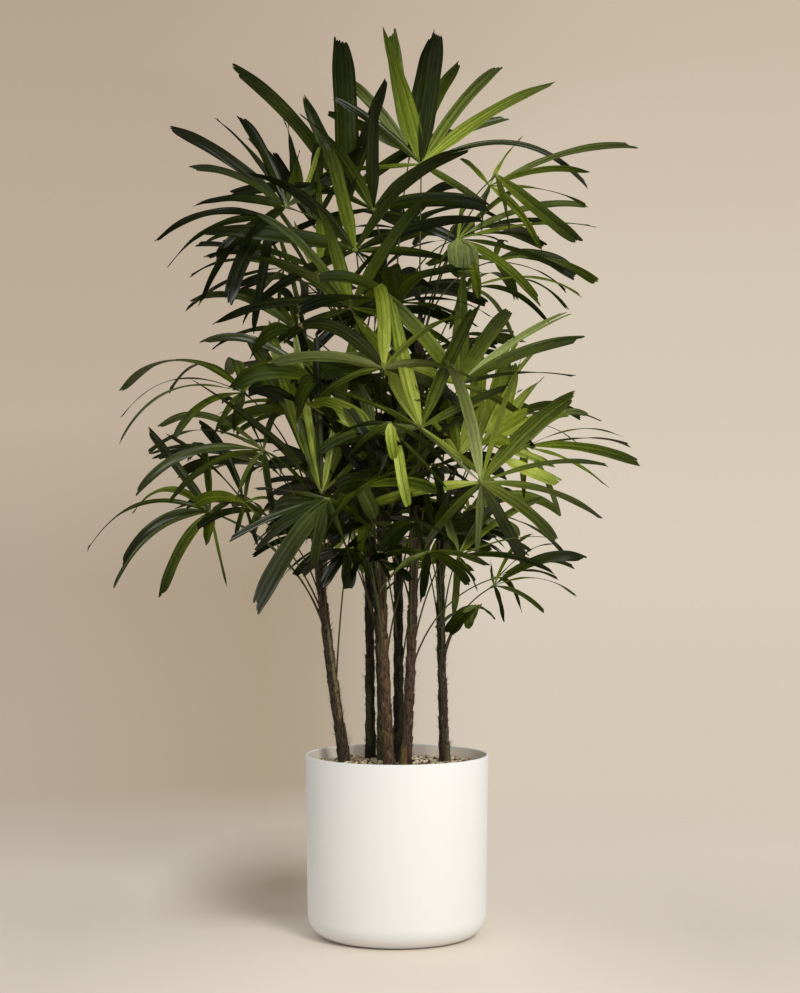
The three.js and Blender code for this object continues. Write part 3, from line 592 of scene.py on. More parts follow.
# More inner leaves, each set where the crown wants one, by the same values as the canes' own leaves.
setLeaves = {
    "fibrous": [
        {"hub": [-9, -95, 834], "turn": 272, "tilt": 76, "fingers": [-40, -14, 8, 30], "reach": 195,
         "ribs": 5, "sag": 0.3, "tone": "deep,dark,deep,dark/0.6"},
        {"hub": [-1, -200, 964], "turn": 290, "tilt": -68, "fingers": [-30, 0, 34], "reach": 155,
         "ribs": 2.4, "sag": 0.2, "tone": "dark/0.6/0.7,bright,dark"},
        {"hub": [-73, -160, 1176], "turn": 335, "tilt": -57, "fingers": [-22, 2, 30], "reach": 190,
         "ribs": 3, "sag": 0.2, "tone": "dark/0.7,grey,mid/0.5/0.8"},
        {"hub": [-44, -150, 974], "turn": 197, "tilt": 36, "roll": -75, "fingers": [-34, 2, 40], "reach": 150,
         "ribs": 6, "sag": 0.8, "tone": "dark/0.8,fresh,mid/0.7"},
        {"hub": [-97, -150, 872], "turn": 268, "tilt": -62, "fingers": [-16, 20], "reach": 92,
         "ribs": 5, "sag": 0.2, "tone": "grey,slate"},
        {"hub": [-120, -60, 1210], "turn": 255, "tilt": 72, "fingers": [-20, 14, 40], "reach": 190,
         "ribs": 2.6, "sag": 0.3, "tone": "fresh,mid/0.7,dark/0.6"},
    ],
    "left": [
        {"hub": [-140, -170, 858], "turn": 270, "tilt": 84, "fingers": [-17, -9, -2, 9], "reach": 310,
         "ribs": 3, "sag": 0.15, "stalk": 320,
         "tone": "mid//0.5/0.3,fresh///0.3,dark/0.8//0.3,fresh/0.7/0.4"},
        {"hub": [-362, 15, 820], "turn": 270, "tilt": 80, "fingers": [-38, 60], "reach": 215,
         "ribs": 2.4, "sag": 0.05, "stalk": 320, "tone": "slate//0.98/0.2,dark/0.6/0.2"},
    ],
    "right": [
        {"hub": [178, -70, 955], "turn": 270, "tilt": 66, "fingers": [10, 34, 62, 112], "reach": 165,
         "ribs": 4.8, "sag": 0.35, "tone": "fresh,bright,fresh/0.7,bright//0.9"},
        {"hub": [120, -40, 930], "turn": 270, "tilt": 70, "fingers": [-40, -14, 12, 38], "reach": 180,
         "ribs": 4, "sag": 0.3, "tone": "fresh,mid,bright/0.6,fresh"},
        {"hub": [196, -150, 922], "turn": 270, "tilt": 80, "fingers": [112, 60], "reach": 128,
         "ribs": 5.5, "sag": 0.1, "stalk": 220, "tone": "bright///0.2,fresh/0.5/0.5"},
    ],
    "russet": [
        {"hub": [20, -80, 900], "turn": 280, "tilt": 66, "fingers": [-34, -6, 20, 44], "reach": 190,
         "ribs": 4, "sag": 0.3, "tone": "deep,mid/0.6,deep,dark"},
        {"hub": [30, -95, 800], "turn": 262, "tilt": -20, "fingers": [-60, -22, 16, 52], "reach": 130,
         "ribs": 3.4, "sag": 0.9, "tone": "deep,dark,deep/0.8,dark"},
        {"hub": [119, -135, 1334], "turn": 280, "tilt": -70, "fingers": [0, 40], "reach": 92,
         "ribs": 5, "sag": 0.1, "tone": "grey/1.4//0.2,dark/0.5/0.6"},
        {"hub": [200, 95, 690], "turn": 330, "tilt": 10, "roll": 30, "fingers": [-46, -10, 22, 60],
         "reach": 170, "ribs": 2.6, "sag": 0.9, "stalk": 280, "tone": "dark/0.5,slate/0.5,dark/0.5,dark/0.5"},
        {"hub": [190, -60, 1465], "turn": 275, "tilt": -60, "fingers": [6, 38], "reach": 245,
         "ribs": 4.5, "sag": 0.1, "tone": "dark/0.5/0.6,mid/1.1"},
    ],
    "rear": [
        {"hub": [-222, 60, 1300], "turn": 195, "tilt": 0, "roll": -50, "fingers": 6, "fan": 150, "reach": 230,
         "ribs": 1.8, "sag": 1.3, "tone": "slate/0.6,dark/0.7"},
        {"hub": [-150, 20, 1290], "turn": 250, "tilt": 66, "fingers": [-62, -30, 4, 26], "reach": 215,
         "ribs": 3, "sag": 0.4, "tone": "dark,dark/0.6,fresh,dark/0.7"},
        {"hub": [-190, 40, 1425], "turn": 262, "tilt": 74, "fingers": [-34, -8, 18, 44], "reach": 170,
         "ribs": 3.6, "sag": 0.3, "tone": "deep,dark,fresh/0.5/0.7,deep"},
        {"hub": [-165, 60, 1385], "turn": 275, "tilt": 70, "fingers": [-26, 2, 26], "reach": 165,
         "ribs": 4, "sag": 0.3, "tone": "deep,dark,deep"},
    ],
    "dark": [
        {"hub": [-50, -60, 800], "turn": 255, "tilt": -15, "fingers": [-66, -28, 8, 44], "reach": 130,
         "ribs": 3.6, "sag": 0.9, "tone": "mid,deep,fresh,grey/0.7"},
    ],
}

caneLines = np.concatenate([caneAxis(cane, np.linspace(0, 1, 60)) for cane in canes.values()])


# Grows an inner leaf: each finger takes the first way of giving way that keeps it clear of every cane.
def growInside(cane, leaf):
    axis = caneAxis(cane, caneSpot(cane, min(leaf["hub"][2], cane["tip"][2])))
    level = math.hypot(leaf["hub"][0] - axis[0], leaf["hub"][1] - axis[1])
    foot = leaf["hub"][2] - math.sqrt(max(leaf["stalk"] ** 2 - level**2, leaf["leastRise"] ** 2))
    leaf["start"] = caneAxis(cane, caneSpot(cane, min(foot, cane["tip"][2] - leaf["tipSpace"])))
    leaf["way"] = 0
    points, ways, sides, width, length, ribs = fingerPaths(leaf)
    apart = np.linalg.norm(points[:, :, 3:, None] - caneLines, axis=-1).min((2, 3))
    best = np.where(apart > innerLook["clear"] + width / 4, np.inf, apart).argmax(1)
    leaf["grown"] = [
        {"number": f, "points": points[f, b], "ways": ways[f, b], "sides": sides[f, b], "width": width[f, 0],
         "length": length[f, b], "ribs": int(ribs[f, 0])}
        for f, b in enumerate(best)
    ]
    return leaf


for order, (caneName, cane) in enumerate(canes.items()):
    count, low, high = innerLeaves[caneName]
    look = innerLook
    for n in range(count):
        chance = lambda kind: float(dice(order + 1, n + 1, 70 + kind))
        height = mixed(low, high, (n + 0.6 * chance(0)) / count)
        turn = rad(giveWay["goldenAngle"] * n + look["spin"] * order + 30 * chance(1))
        axis = caneAxis(cane, caneSpot(cane, min(height, cane["tip"][2])))
        far = mixed(*look["out"], chance(2))
        hub = [axis[0] + far * math.cos(turn), axis[1] + far * math.sin(turn), height]
        leaves[caneName].append(growInside(cane, leafOf({
            "hub": [round(float(part)) for part in hub],
            "turn": math.degrees(turn) + look["turnSpread"] * (chance(3) - 0.5),
            "tilt": mixed(*look["tilt"], chance(4)), "roll": look["rollSpread"] * (chance(5) - 0.5),
            "sag": mixed(*look["sag"], chance(6)), "reach": mixed(*look["reach"], chance(8)),
            "fan": mixed(*look["fan"], chance(9)), "ribs": look["ribs"],
            "fingers": look["fingers"] + int(look["moreFingers"] * chance(7)),
            "stalk": look["stalk"] * (0.7 + 0.6 * chance(10)),
            "tone": next(tone for share, tone in look["tones"] if chance(11) <= share),
        })))
    leaves[caneName] += [growInside(cane, leafOf(given)) for given in setLeaves.get(caneName, [])]
print("inner leaves grown:", sum("node" not in leaf for grown in leaves.values() for leaf in grown))


# Blade colours in display values 0 to 255: the plain greens and the greyer ones, each from the deepest to the
# palest with even steps between, then a finger's heart at the hub and its dry tip. A tone is one of the two
# kinds and a level.
bladeScale = {
    "green": [(16, 21, 1), (37, 45, 4), (68, 79, 14), (113, 127, 38), (168, 180, 74), (212, 221, 146)],
    "grey": [(20, 25, 5), (42, 49, 16), (74, 83, 38), (112, 122, 66), (160, 170, 108), (204, 212, 160)],
    "levels": 16, "heart": (124, 134, 66), "dry": (112, 96, 58),
}
toneLevels = {"deep": (0, 1), "dark": (0, 3.4), "mid": (0, 6.2), "fresh": (0, 9), "bright": (0, 11.6),
              "slate": (1, 3.6), "grey": (1, 6.4), "pale": (1, 10)}
bladeLook = {
    # Shape: how far along a finger its rows lie, and each rib's places across and heights.
    "rows": 27, "rootRows": [0, 0.02, 0.05], "evenRows": (0.085, 0.9),
    "tipRows": [0.93, 0.955, 0.975, 0.99, 1],
    "ribPlaces": [0, 0.09, 0.44, 0.56, 0.91], "ribHeights": [0, 0.3, 1, 1, 0.3],
    "pleat": 0.75, "vee": 0.3, "crease": 0.02, "ripple": 0.7, "ripples": 17,
    "breadth": (0.74, 1.08), "opening": (-0.08, 0.3), "closes": (0.76, 1.06), "closing": 0.44,
    "root": 0.1, "rootEnd": 0.3, "twist": 95, "twistPower": 1.15, "sway": 0.035, "swayBend": 2.6,
    "notch": 0.012, "ragged": 0.036, "oblique": 0.055, "notchPower": 14,
    "splitChance": 0.25, "splitPower": 1.4, "splitWidth": 0.2, "splitDip": 0.12,
    # Colour, in levels of the scale: streaks along the ribs, creases darkened as painted shade and pale veins
    # on
    # # the ridges, a paler root, a darker tip and a little spray.
    "levelSpread": 2.6, "streak": 0.9, "creaseShadeAndVeinChance": 0.5, "creaseShade": -1.7, "vein": 1.1, "heart": 0.022,
    "paleBase": 3.6, "darkTip": 2.2, "grain": 0.7, "dryChance": 0.18, "dryFrom": 0.985, "drySpread": 0.03,
    "roughness": 0.38, "shine": 0.36,
    "through": 0.2, "throughGain": (1.9, 2.0, 0.9),  # how much light shines through a blade, and its colour
}
# A leaf's tone, or one for each of its fingers in turn; after slashes shares of the width, length and twist.
# Partly these tones are painted light: the leaves at the upper left take darker tones as painted shade, those
# at the right paler ones as painted light, and some pale fingers are painted highlights.
leafTonesWithPaintedLight = {
    "left": "mid/1.3,mid/1.4,slate/1.3,mid/1.7,dark/0.35,mid/0.3,mid/1.5/0.78,mid/1.8/0.72,"
            "slate/1.9/0.62 mid "
            "slate,dark,grey/0.8,slate,slate/0.9,dark,grey/0.45/0.75,slate/0.5/0.8,dark dark "
            "dark,mid,fresh,fresh,fresh,mid slate/0.6/0.8,slate/0.7,dark/0.6/0.85,slate,slate,slate,dark "
            "mid/0.6,slate/0.4/0.7,dark/0.7,dark/0.4,mid/0.8,slate/0.5/0.6,dark/0.4/0.6,mid/0.5 "
            "dark,mid,dark/0.75,dark,slate/0.55,mid/1.1,mid/1.5/0.65,mid/0.5/0.85",
    "rear": "deep,dark,dark,dark/1.1//0.2,deep,dark deep "
            "deep,deep/0.6/0.95,dark/0.8,slate/0.9,deep/0.6,deep,deep,dark,slate/0.9 deep "
            "deep,dark,slate,deep/0.6/0.85,dark,deep,dark deep deep",
    "thin": "dark dark deep deep deep",
    "fibrous": "dark,deep,dark,dark,mid,dark,dark,mid mid,grey,dark,fresh dark,mid,slate,dark mid,dark "
               "deep/0.7,dark/0.7,bright/0.8/0.8,dark/0.6,deep/0.6 mid,dark,grey,mid deep",
    "dark": "mid,grey,mid,dark deep,dark,deep,deep/0.8,deep/0.9,dark/0.6,deep,deep "
            "deep,deep,dark dark deep,dark,deep,mid,dark deep",
    "russet": "mid/0.5,dark/0.6,fresh,dark/0.7,mid,fresh,dark/0.4,mid/0.5 "
              "grey,fresh,mid/0.6,mid/0.5,grey,fresh/0.6,mid/0.5 mid,fresh,mid/0.8,dark/0.5,fresh/0.7,grey "
              "mid/0.6,dark/0.5,mid/0.8,dark mid,grey/0.8,dark,fresh/0.45/0.85,mid/0.5,grey,dark dark,deep "
              "grey,mid,bright,fresh,mid,mid/0.5/0.7,fresh/0.7",
    "right": "fresh,mid,mid/1.2,mid/0.85,pale/0.65,mid,dark/0.6/0.95,mid mid,dark "
             "mid,grey,fresh/0.7,mid/0.8/0.97,dark/0.5/0.98,mid/0.4,grey/0.7,fresh bright/1.4 "
             "mid,fresh,grey/0.35,pale,fresh/0.4,mid,mid/0.45,mid/0.6,mid/0.8/0.8,dark//0.8,grey//0.75 "
             "mid,dark dark,grey,deep/0.6,dark grey/0.8,mid/0.4/0.8,dark/0.7,grey/0.6,mid/0.7,dark/0.8,grey "
             "dark/0.8,grey/0.6,mid/0.45/0.95,dark,mid/0.5,grey/0.4/0.7 "
             "slate/0.5,dark/1.7/0.9,grey/1.5/0.75,slate/0.35",
}


# A display colour as the linear one that the finishes take, and a linear colour made darker.
def linear(colour):
    share = np.array(colour) / 255
    return tuple(np.where(share > 0.04045, ((share + 0.055) / 1.055) ** 2.4, share / 12.92))


def darker(colour, share):
    return tuple(share * part for part in colour)


# A leaf's plain finish: a glossy green with some light coming through it from behind.
def leafFinish(name, colour, roughness, through):
    finish = Finish(name)
    skin = finish.skin(linear(colour), roughness, shine=bladeLook["shine"])
    lit = tuple(min(1, part * gain) for part, gain in zip(linear(colour), bladeLook["throughGain"]))
    glow = finish.node("BsdfTranslucent", {}, {"Color": lit})
    return finish.surface(finish.node("MixShader", {}, {0: through, 1: skin, 2: glow}))


levels = bladeScale["levels"]
bladeFinishes = []
for kind in ("green", "grey"):
    anchors = np.array(bladeScale[kind], float)
    steps = np.linspace(0, len(anchors) - 1, levels)
    scale = np.stack([np.interp(steps, np.arange(len(anchors)), anchors[:, i]) for i in range(3)], -1)
    bladeFinishes += [
        leafFinish(f"blade_{kind}_{level:02d}", colour, bladeLook["roughness"], bladeLook["through"])
        for level, colour in enumerate(scale)
    ]
heartTone, dryTone = 2 * levels, 2 * levels + 1
bladeFinishes.append(leafFinish("blade_heart", bladeScale["heart"], 0.5, 0.1))
bladeFinishes.append(leafFinish("blade_dry", bladeScale["dry"], 0.7, 0.1))


# A finger's width as a share of its widest: as in the rule, but sooner open, with a fuller end and root.
def bladeWidth(s):
    opening, closing = eased(s, *bladeLook["opening"]), eased(s, *bladeLook["closes"])
    root = bladeLook["root"] * np.clip(1 - s / bladeLook["rootEnd"], 0, 1) ** 2
    return (0.02 + 0.98 * opening) * (1 - bladeLook["closing"] * closing) + root


# One finger as a pleated sheet in one or two strips. Its point at s along and v across (-1 to 1) is
# path(s) - way * notch(v) * length * s^notchPower + side * halfWidth(s) * v + out * (pleat(v) + vee * |v|),
# with side and out turned slowly about the way, and two strips drawing apart towards their tips. Each number
# given to chance is one draw of the finger's own.
def bladeShells(leaf, finger, tone):
    chance = lambda kind: float(dice(leaf["seed"], finger["number"], kind))
    name, slim, short, wring = (tone.split("/") + ["", "", ""])[:4]
    slim, short, wring = float(slim or 1), float(short or 1), float(wring or 1)
    kind, level = toneLevels[name]
    look, ribs, length = bladeLook, finger["ribs"], finger["length"] * short
    level = level + look["levelSpread"] * (chance(10) - 0.5)
    evenRows = look["rows"] - len(look["rootRows"]) - len(look["tipRows"])
    s = np.concatenate([look["rootRows"], np.linspace(*look["evenRows"], evenRows), look["tipRows"]])
    steps = np.linspace(0, 1, len(finger["points"]))
    path, ways, sides = (
        np.stack([np.interp(s * short, steps, finger[key][:, i]) for i in range(3)], -1)
        for key in ("points", "ways", "sides")
    )
    ways, sides = unit(ways), unit(sides)
    twist = np.radians(look["twist"]) * wring * 2 * (chance(11) - 0.5) * s ** look["twistPower"]
    sides = turned(sides, ways, twist)
    outs = np.cross(ways, sides)
    sway = look["sway"] * length * 2 * (chance(12) - 0.5) * np.sin(look["swayBend"] * s)
    path = path + sides * sway[:, None]
    half = finger["width"] / 2 * bladeWidth(s) * slim * mixed(*look["breadth"], chance(28))

    rib = np.arange(ribs)
    breadth = 0.8 + 0.4 * dice(leaf["seed"] + finger["number"], rib, 13)
    edges = np.concatenate([[0], np.cumsum(breadth)]) / breadth.sum()
    split = 1 + int(chance(15) * (ribs - 1)) if ribs > 2 and chance(14) < look["splitChance"] else 0
    opens = 0.7 + 0.24 * chance(16)
    strips = [(0, split), (split, ribs)] if split else [(0, ribs)]
    shells = []
    for strip, (first, last) in enumerate(strips):
        own = np.arange(first, last)
        places = np.array(look["ribPlaces"])
        across = (edges[own][:, None] + (edges[own + 1] - edges[own])[:, None] * places).ravel()
        across = np.append(across, edges[last]) * 2 - 1
        high = np.append(np.tile(look["ribHeights"], len(own)), 0) - 0.5
        tooth = np.repeat(look["ragged"] * dice(leaf["seed"] - finger["number"], own, 17), 5)
        notch = np.append(tooth, tooth[-1]) + look["notch"] * (0.5 - high)
        notch = notch + look["oblique"] * np.clip(0.5 + across * (chance(19) - 0.5) * 2, 0, 1)
        past = np.clip(s - opens, 0, 1) if split else 0 * s
        apart = past ** look["splitPower"] * length * look["splitWidth"] * (strip - 0.5)
        dip = past * length * look["splitDip"] * (chance(18 + strip) - 0.5)
        vee = look["vee"] * (1.25 - 1.1 * s + 0.9 * (chance(20) - 0.5)) * half
        crease = np.sqrt(across**2 + look["crease"])
        ripple = look["ripple"] * np.sin(s * look["ripples"] + 6 * chance(21))[:, None] * across**3
        height = look["pleat"] * bladeWidth(s)[:, None] * high + vee[:, None] * crease + ripple
        points = (
            (path + outs * dip[:, None])[:, None]
            - ways[:, None] * (s[:, None] ** look["notchPower"] * notch * length)[..., None]
            + sides[:, None] * (half[:, None] * across + apart[:, None])[..., None]
            + outs[:, None] * height[..., None]
        )
        middle = (s[1:] + s[:-1])[:, None] / 2
        seed = leaf["seed"] + 7 * finger["number"]
        streak = look["streak"] * (dice(seed, np.arange(2 * len(own)) + 40 * strip, 22) * 2 - 1)
        first, second = streak.reshape(-1, 2).T
        middling = streak.reshape(-1, 2).mean(1)
        streak = np.stack([first, first, middling, second, second], -1).ravel()
        spray = dice(seed, np.arange(5 * len(own)), 23)
        # On some ribs the faces beside the creases are darkened as painted shade, and the ridge between has a
        # pale vein.
        withCreaseShadeAndVein = np.repeat(dice(seed, own, 26) < look["creaseShadeAndVeinChance"], 5)
        creaseShadeAndVeinLevels = np.tile([look["creaseShade"], 0, look["vein"], 0, look["creaseShade"]], len(own)) * withCreaseShadeAndVein
        paleEnd = 0.42 + 0.14 * spray
        along = look["paleBase"] * (0.3 + 0.7 * chance(27)) * np.clip(1 - middle / paleEnd, 0, 1)
        along = along - look["darkTip"] * eased(middle, 0.4 + 0.15 * spray, 1)
        tones = level + streak + creaseShadeAndVeinLevels + along + look["grain"] * (spray - 0.5)
        tones = kind * levels + np.clip(np.round(tones), 0, levels - 1)
        tones = np.where(middle < look["heart"] * (0.5 + 1.3 * spray), heartTone, tones)
        if chance(24) < look["dryChance"]:
            tones = np.where(middle > look["dryFrom"] - look["drySpread"] * chance(25), dryTone, tones)
        shells.append(gridShell(points, tones, flipped=True))
    return shells


for caneName, grown in leaves.items():
    shells = []
    toneList = leafTonesWithPaintedLight[caneName].split()
    for number, leaf in enumerate(grown):
        tones = (leaf["tone"] if "tone" in leaf else toneList[number]).split(",")
        for finger in leaf["grown"]:
            shells += bladeShells(leaf, finger, tones[finger["number"] % len(tones)])
    replaced = [leaf["node"] for leaf in grown if "node" in leaf]
    addPiece(f"fronds_{caneName}", shells, bladeFinishes, replaced)

# Stalks: thin tubes with a swollen foot and a knob where the fingers join. The radius at t is
# base + (end - base) t + foot * e^(-t / footFade), and knob more at the end. Each finish has its colour, its
# roughness and how much light comes through.
stalkLook = {
    "sides": 8, "rows": 15, "rowPower": 0.85, "base": 1.9, "end": 1.2, "foot": 2.2, "footFade": 0.03,
    "knob": 2.0, "knobFrom": 0.955, "past": 2.5, "point": 1.5, "brownPart": 0.22, "paleFrom": 0.94,
    "finishes": {"brown": ((74, 62, 36), 0.6, 0.02), "green": ((70, 76, 34), 0.45, 0.05),
                 "pale": ((112, 118, 58), 0.5, 0.05)},
}
stalkFinishes = [leafFinish(f"stalk_{kind}", *values) for kind, values in stalkLook["finishes"].items()]
for caneName, grown in leaves.items():
    shells = []
    for leaf in grown:
        look = stalkLook
        t = np.linspace(0, 1, look["rows"]) ** look["rowPower"]
        path = stalkAxis(leaf["start"], leaf["hub"], leaf["way"], t)
        path = np.vstack([path, path[-1] + look["past"] * unit(path[-1] - path[-2])])
        bend = path[look["rows"] // 2] - leaf["start"]
        upright = unit(np.cross(leaf["hub"] - leaf["start"], bend) + 1e-9)
        radii = mixed(look["base"], look["end"], t) + look["foot"] * np.exp(-t / look["footFade"])
        radii = np.append(radii + look["knob"] * eased(t, look["knobFrom"], 1), look["end"])
        rings = tubeRings(path, radii, look["sides"], upright)
        brown = look["brownPart"] * (0.5 + dice(leaf["seed"], 3, 31))
        tones = np.where(t < brown, 0, np.where(t > look["paleFrom"], 2, 1))[:, None]
        shells.append(gridShell(rings, tones, closed=True))
        shells.append(capShell(rings[-1], path[-1] + look["point"] * unit(path[-1] - path[-2]), 2))
    replaced = [leaf["node"] for leaf in grown if "node" in leaf]
    addPiece(f"stalks_{caneName}", shells, stalkFinishes, replaced)
print("fronds made")


# Canes: sheaths that overlap upwards, each swelling to a ragged edge, with fibres along them. The radius at a
# turn and a way up u is base(u) + lift * rise^2 + fibres * strand + lumps * lump, where rise runs from 0 to 1
# up each sheath, and strand and lump are smooth noise.
caneLook = {
    "rowHeight": 2.6, "sides": 44, "inset": 0.9, "sheath": 46, "slant": 0.3, "drift": 0.35, "lift": 2.1,
    "ragged": 0.3, "fibres": 0.55, "lumps": 0.8, "roughness": 0.82, "shine": 0.3, "stripEnds": (6, 14, 9),
    "hairs": 2.4,  # for each millimetre of cane
    "hairLength": (3.5, 26), "hairWidth": 1.1, "hairRoot": 0.6, "hairWander": 0.7, "bareRows": (4, 8),
    "darkHairs": 0.6, "hairRoughness": 0.85, "hairShine": 0.25,
}
caneColours = {  # the sheath, its shaded gaps and its worn edges
    "left": [(56, 46, 34), (23, 19, 13), (92, 80, 58)],
    "rear": [(46, 40, 29), (20, 18, 12), (74, 68, 46)],
    "thin": [(54, 48, 33), (24, 21, 15), (86, 84, 54)],
    "fibrous": [(86, 66, 47), (35, 26, 18), (128, 102, 70)],
    "dark": [(40, 35, 27), (17, 15, 11), (66, 57, 42)],
    "russet": [(72, 54, 42), (29, 22, 17), (106, 84, 66)],
    "right": [(60, 48, 37), (25, 20, 15), (96, 83, 63)],
}
# Greenish or orange strips on the bark: compass heading, half its breadth in degrees, lowest and highest z,
# and its colour.
caneStrips = {
    "right": [(330, 34, 300, 392, (86, 88, 54))],
    "thin": [(262, 60, 300, 415, (76, 82, 44))],
    "russet": [(232, 20, 300, 378, (96, 102, 56)), (262, 18, 300, 364, (128, 90, 50))],
    "rear": [(250, 40, 360, 470, (66, 68, 42))],
    "left": [(300, 24, 420, 590, (112, 100, 66)), (345, 14, 330, 640, (92, 82, 52))],
}


# Bark: patches and long strands of fibre over the sheath's colour, pale at its worn edge, with painted shade
# in
# # the recess where one sheath meets the next and between the strands.
def caneFinish(name, colours, strips):
    finish = Finish(name)
    base, gap, edge = (linear(colour) for colour in colours)
    strands = finish.noise(finish.place((1, 1, 0.06)), scale=420, detail=3, roughness=0.65)
    patches = finish.noise(finish.place((1, 1, 0.5)), scale=26, detail=3, roughness=0.6)
    worn = finish.stored("worn")
    colour = finish.blend(finish.above(patches, 0.42, gain=3.2), base, darker(base, 0.62))
    colour = finish.blend(finish.above(strands, 0.5, gain=3.4), colour, edge)
    # Painted shade between the strands.
    colour = finish.blend(finish.below(strands, 0.45, gain=4.5), colour, gap)
    colour = finish.blend(finish.above(worn, 0.72, gain=2.6), colour, edge)
    # Painted shade in the recess where one sheath meets the next.
    colour = finish.blend(finish.below(worn, 0.16, gain=5), colour, gap)
    for number, (*_, tint) in enumerate(strips):
        share = finish.clamped(finish.stored(f"strip{number}") * (strands + 0.35))
        colour = finish.blend(share, colour, linear(tint))
    bump = finish.bump(strands + 0.5 * patches, strength=0.7, distance=0.0012)
    return finish.surface(finish.skin(colour, caneLook["roughness"], caneLook["shine"], bump))


def hairFinish(name, colour):
    finish = Finish(name)
    return finish.surface(finish.skin(linear(colour), caneLook["hairRoughness"], caneLook["hairShine"]))


for number, (caneName, cane) in enumerate(canes.items()):
    look = caneLook
    foot = caneSpot(cane, bed["soilTop"] + bed["gap"])
    tall = np.linalg.norm(np.array(cane["tip"]) - caneAxis(cane, foot))
    t = np.linspace(foot, 1, int(tall / look["rowHeight"]))
    path = caneAxis(cane, t)
    u = np.concatenate([[0], np.cumsum(np.linalg.norm(np.diff(path, axis=0), axis=1))])[:, None]
    turn = np.linspace(0, 360, look["sides"], endpoint=False)[None]
    # Noise round and up this cane: how many squares go round it, how long each is, and a seed.
    wave = lambda around, long, seed: hills(turn / 360 * around, u / long, number + seed, around)
    ragged = wave(22, 30, 50) + 0.6 * wave(44, 12, 60)
    climb = u / look["sheath"] + look["slant"] * np.sin(np.radians(turn + 97 * number))
    climb = climb + look["ragged"] * ragged
    climb = climb + look["drift"] * hills(u / 90 + 0 * turn, 0 * u + 0.5, number + 70, 1000)
    rise = climb - np.floor(climb)
    strand = wave(44, 60, 80) + 0.5 * wave(44, 14, 90)
    base = mixed(cane["girth"][0], cane["girth"][1], t)[:, None] - look["inset"]
    base = base + caneRule["flare"] * np.clip(1 - t * caneRule["spans"], 0, 1)[:, None]
    radii = base + look["lift"] * rise**2 + look["fibres"] * strand + look["lumps"] * wave(5, 40, 95)
    rings = tubeRings(path, radii, look["sides"])
    shell = gridShell(rings, 0, closed=True)
    cap = capShell(rings[-1], path[-1] + (path[-1] - path[-2]), 0)
    under = capShell(rings[0], path[0], 0, flipped=True)

    # What the finish reads: how far up its sheath each point is, and how much of each strip it has.
    heading = np.degrees(np.arctan2(rings[..., 1] - path[:, None, 1], rings[..., 0] - path[:, None, 0]))
    strips = caneStrips.get(caneName, [])
    stored = {"worn": rise}
    lower, upper, wavy = look["stripEnds"]
    for n, (middle, breadth, low, high, _) in enumerate(strips):
        beside = np.abs((heading - middle + 180) % 360 - 180)
        z = rings[..., 2] + wavy * ragged
        within = eased(z, low - lower, low + lower)
        stored[f"strip{n}"] = (1 - eased(beside, 0.6 * breadth, breadth)) * within * (
            1 - eased(z, high - upper, high + upper))
    # Each cap has its ring again and one point more.
    ends = lambda values: [values[-1], values[-1, :1], values[0], values[0, :1]]
    stored = {key: np.concatenate([values.ravel(), *ends(values)]) for key, values in stored.items()}
    finish = caneFinish(f"bark_{caneName}", caneColours[caneName], strips)
    addPiece(f"stem_{caneName}", [shell, cap, under], [finish], ["cane_" + caneName], stored)

    # Hairs: thin strips of two parts that leave the sheaths upwards and bend away from the cane.
    hair = np.arange(int(look["hairs"] * tall))
    lowest, highest = look["bareRows"]
    row = (dice(hair, number, 1) * (len(t) - lowest - highest)).astype(int) + lowest
    column = (dice(hair, number, 2) * look["sides"]).astype(int)
    root = rings[row, column]
    away = unit(root - path[row])
    up = np.array([0, 0, 1.0])
    beside = np.cross(up, away)
    long = mixed(*look["hairLength"], dice(hair, number, 3) ** 4)[:, None]
    lean = 0.4 + 0.9 * dice(hair, number, 4)[:, None]
    wander = (beside * (dice(hair, number, 5) - 0.5)[:, None]) * look["hairWander"]
    droop = mixed(1, -0.5, dice(hair, number, 6))[:, None]
    first = root - look["hairRoot"] * away
    second = first + long * 0.5 * unit(up + lean * away * 0.6 + wander)
    third = second + long * 0.5 * unit(up * droop + lean * away + wander)
    wide = beside * look["hairWidth"] / 2
    points = np.stack([first + wide, first - wide, second + wide, second - wide, third], 1).reshape(-1, 3)
    at = 5 * hair[:, None]
    quads = np.hstack([at, at + 1, at + 3, at + 2])
    tris = np.hstack([at + 2, at + 3, at + 4])
    pale = (dice(hair, number, 7) > look["darkHairs"]).astype(int)
    finishes = [hairFinish(f"hair_{caneName}_{kind}", caneColours[caneName][kind]) for kind in (1, 0)]
    shells = [(points, quads, pale), (np.zeros((0, 3)), tris - len(points), pale)]
    addPiece(f"fibres_{caneName}", shells, finishes, ["cane_" + caneName])
print("canes made")


# A surface of revolution: the profile's points as radius and height, with fans over both poles. tones is a
# finish number for each of the profile's bands.
def lathe(profile, sides, tones):
    turn = np.linspace(0, 2 * np.pi, sides, endpoint=False)
    radii, heights = profile[:, 0, None], profile[:, 1, None] + 0 * turn
    rings = np.stack([radii * np.cos(turn), radii * np.sin(turn), heights], -1)
    poles = [np.array([0, 0, profile[end, 1]]) for end in (0, -1)]
    return [gridShell(rings, tones[:, None], closed=True),
            capShell(rings[0], poles[0], tones[0], flipped=True), capShell(rings[-1], poles[1], tones[-1])]


# Half of the planter's outline set in by some distance: a quarter ellipse for the foot, then the straight
# side up to a height.
def sideOutline(inset, top, steps):
    turn = np.linspace(0, np.pi / 2, steps + 1)
    arc = np.stack([
        planter["foot"] - inset + (planter["waist"] - planter["foot"]) * np.sin(turn),
        inset + (planter["footRise"] - inset) * (1 - np.cos(turn)),
    ], -1)
    share = (top - planter["footRise"]) / (planter["height"] - planter["footRise"])
    return np.vstack([arc, [mixed(planter["waist"], planter["rim"], share) - inset, top]])


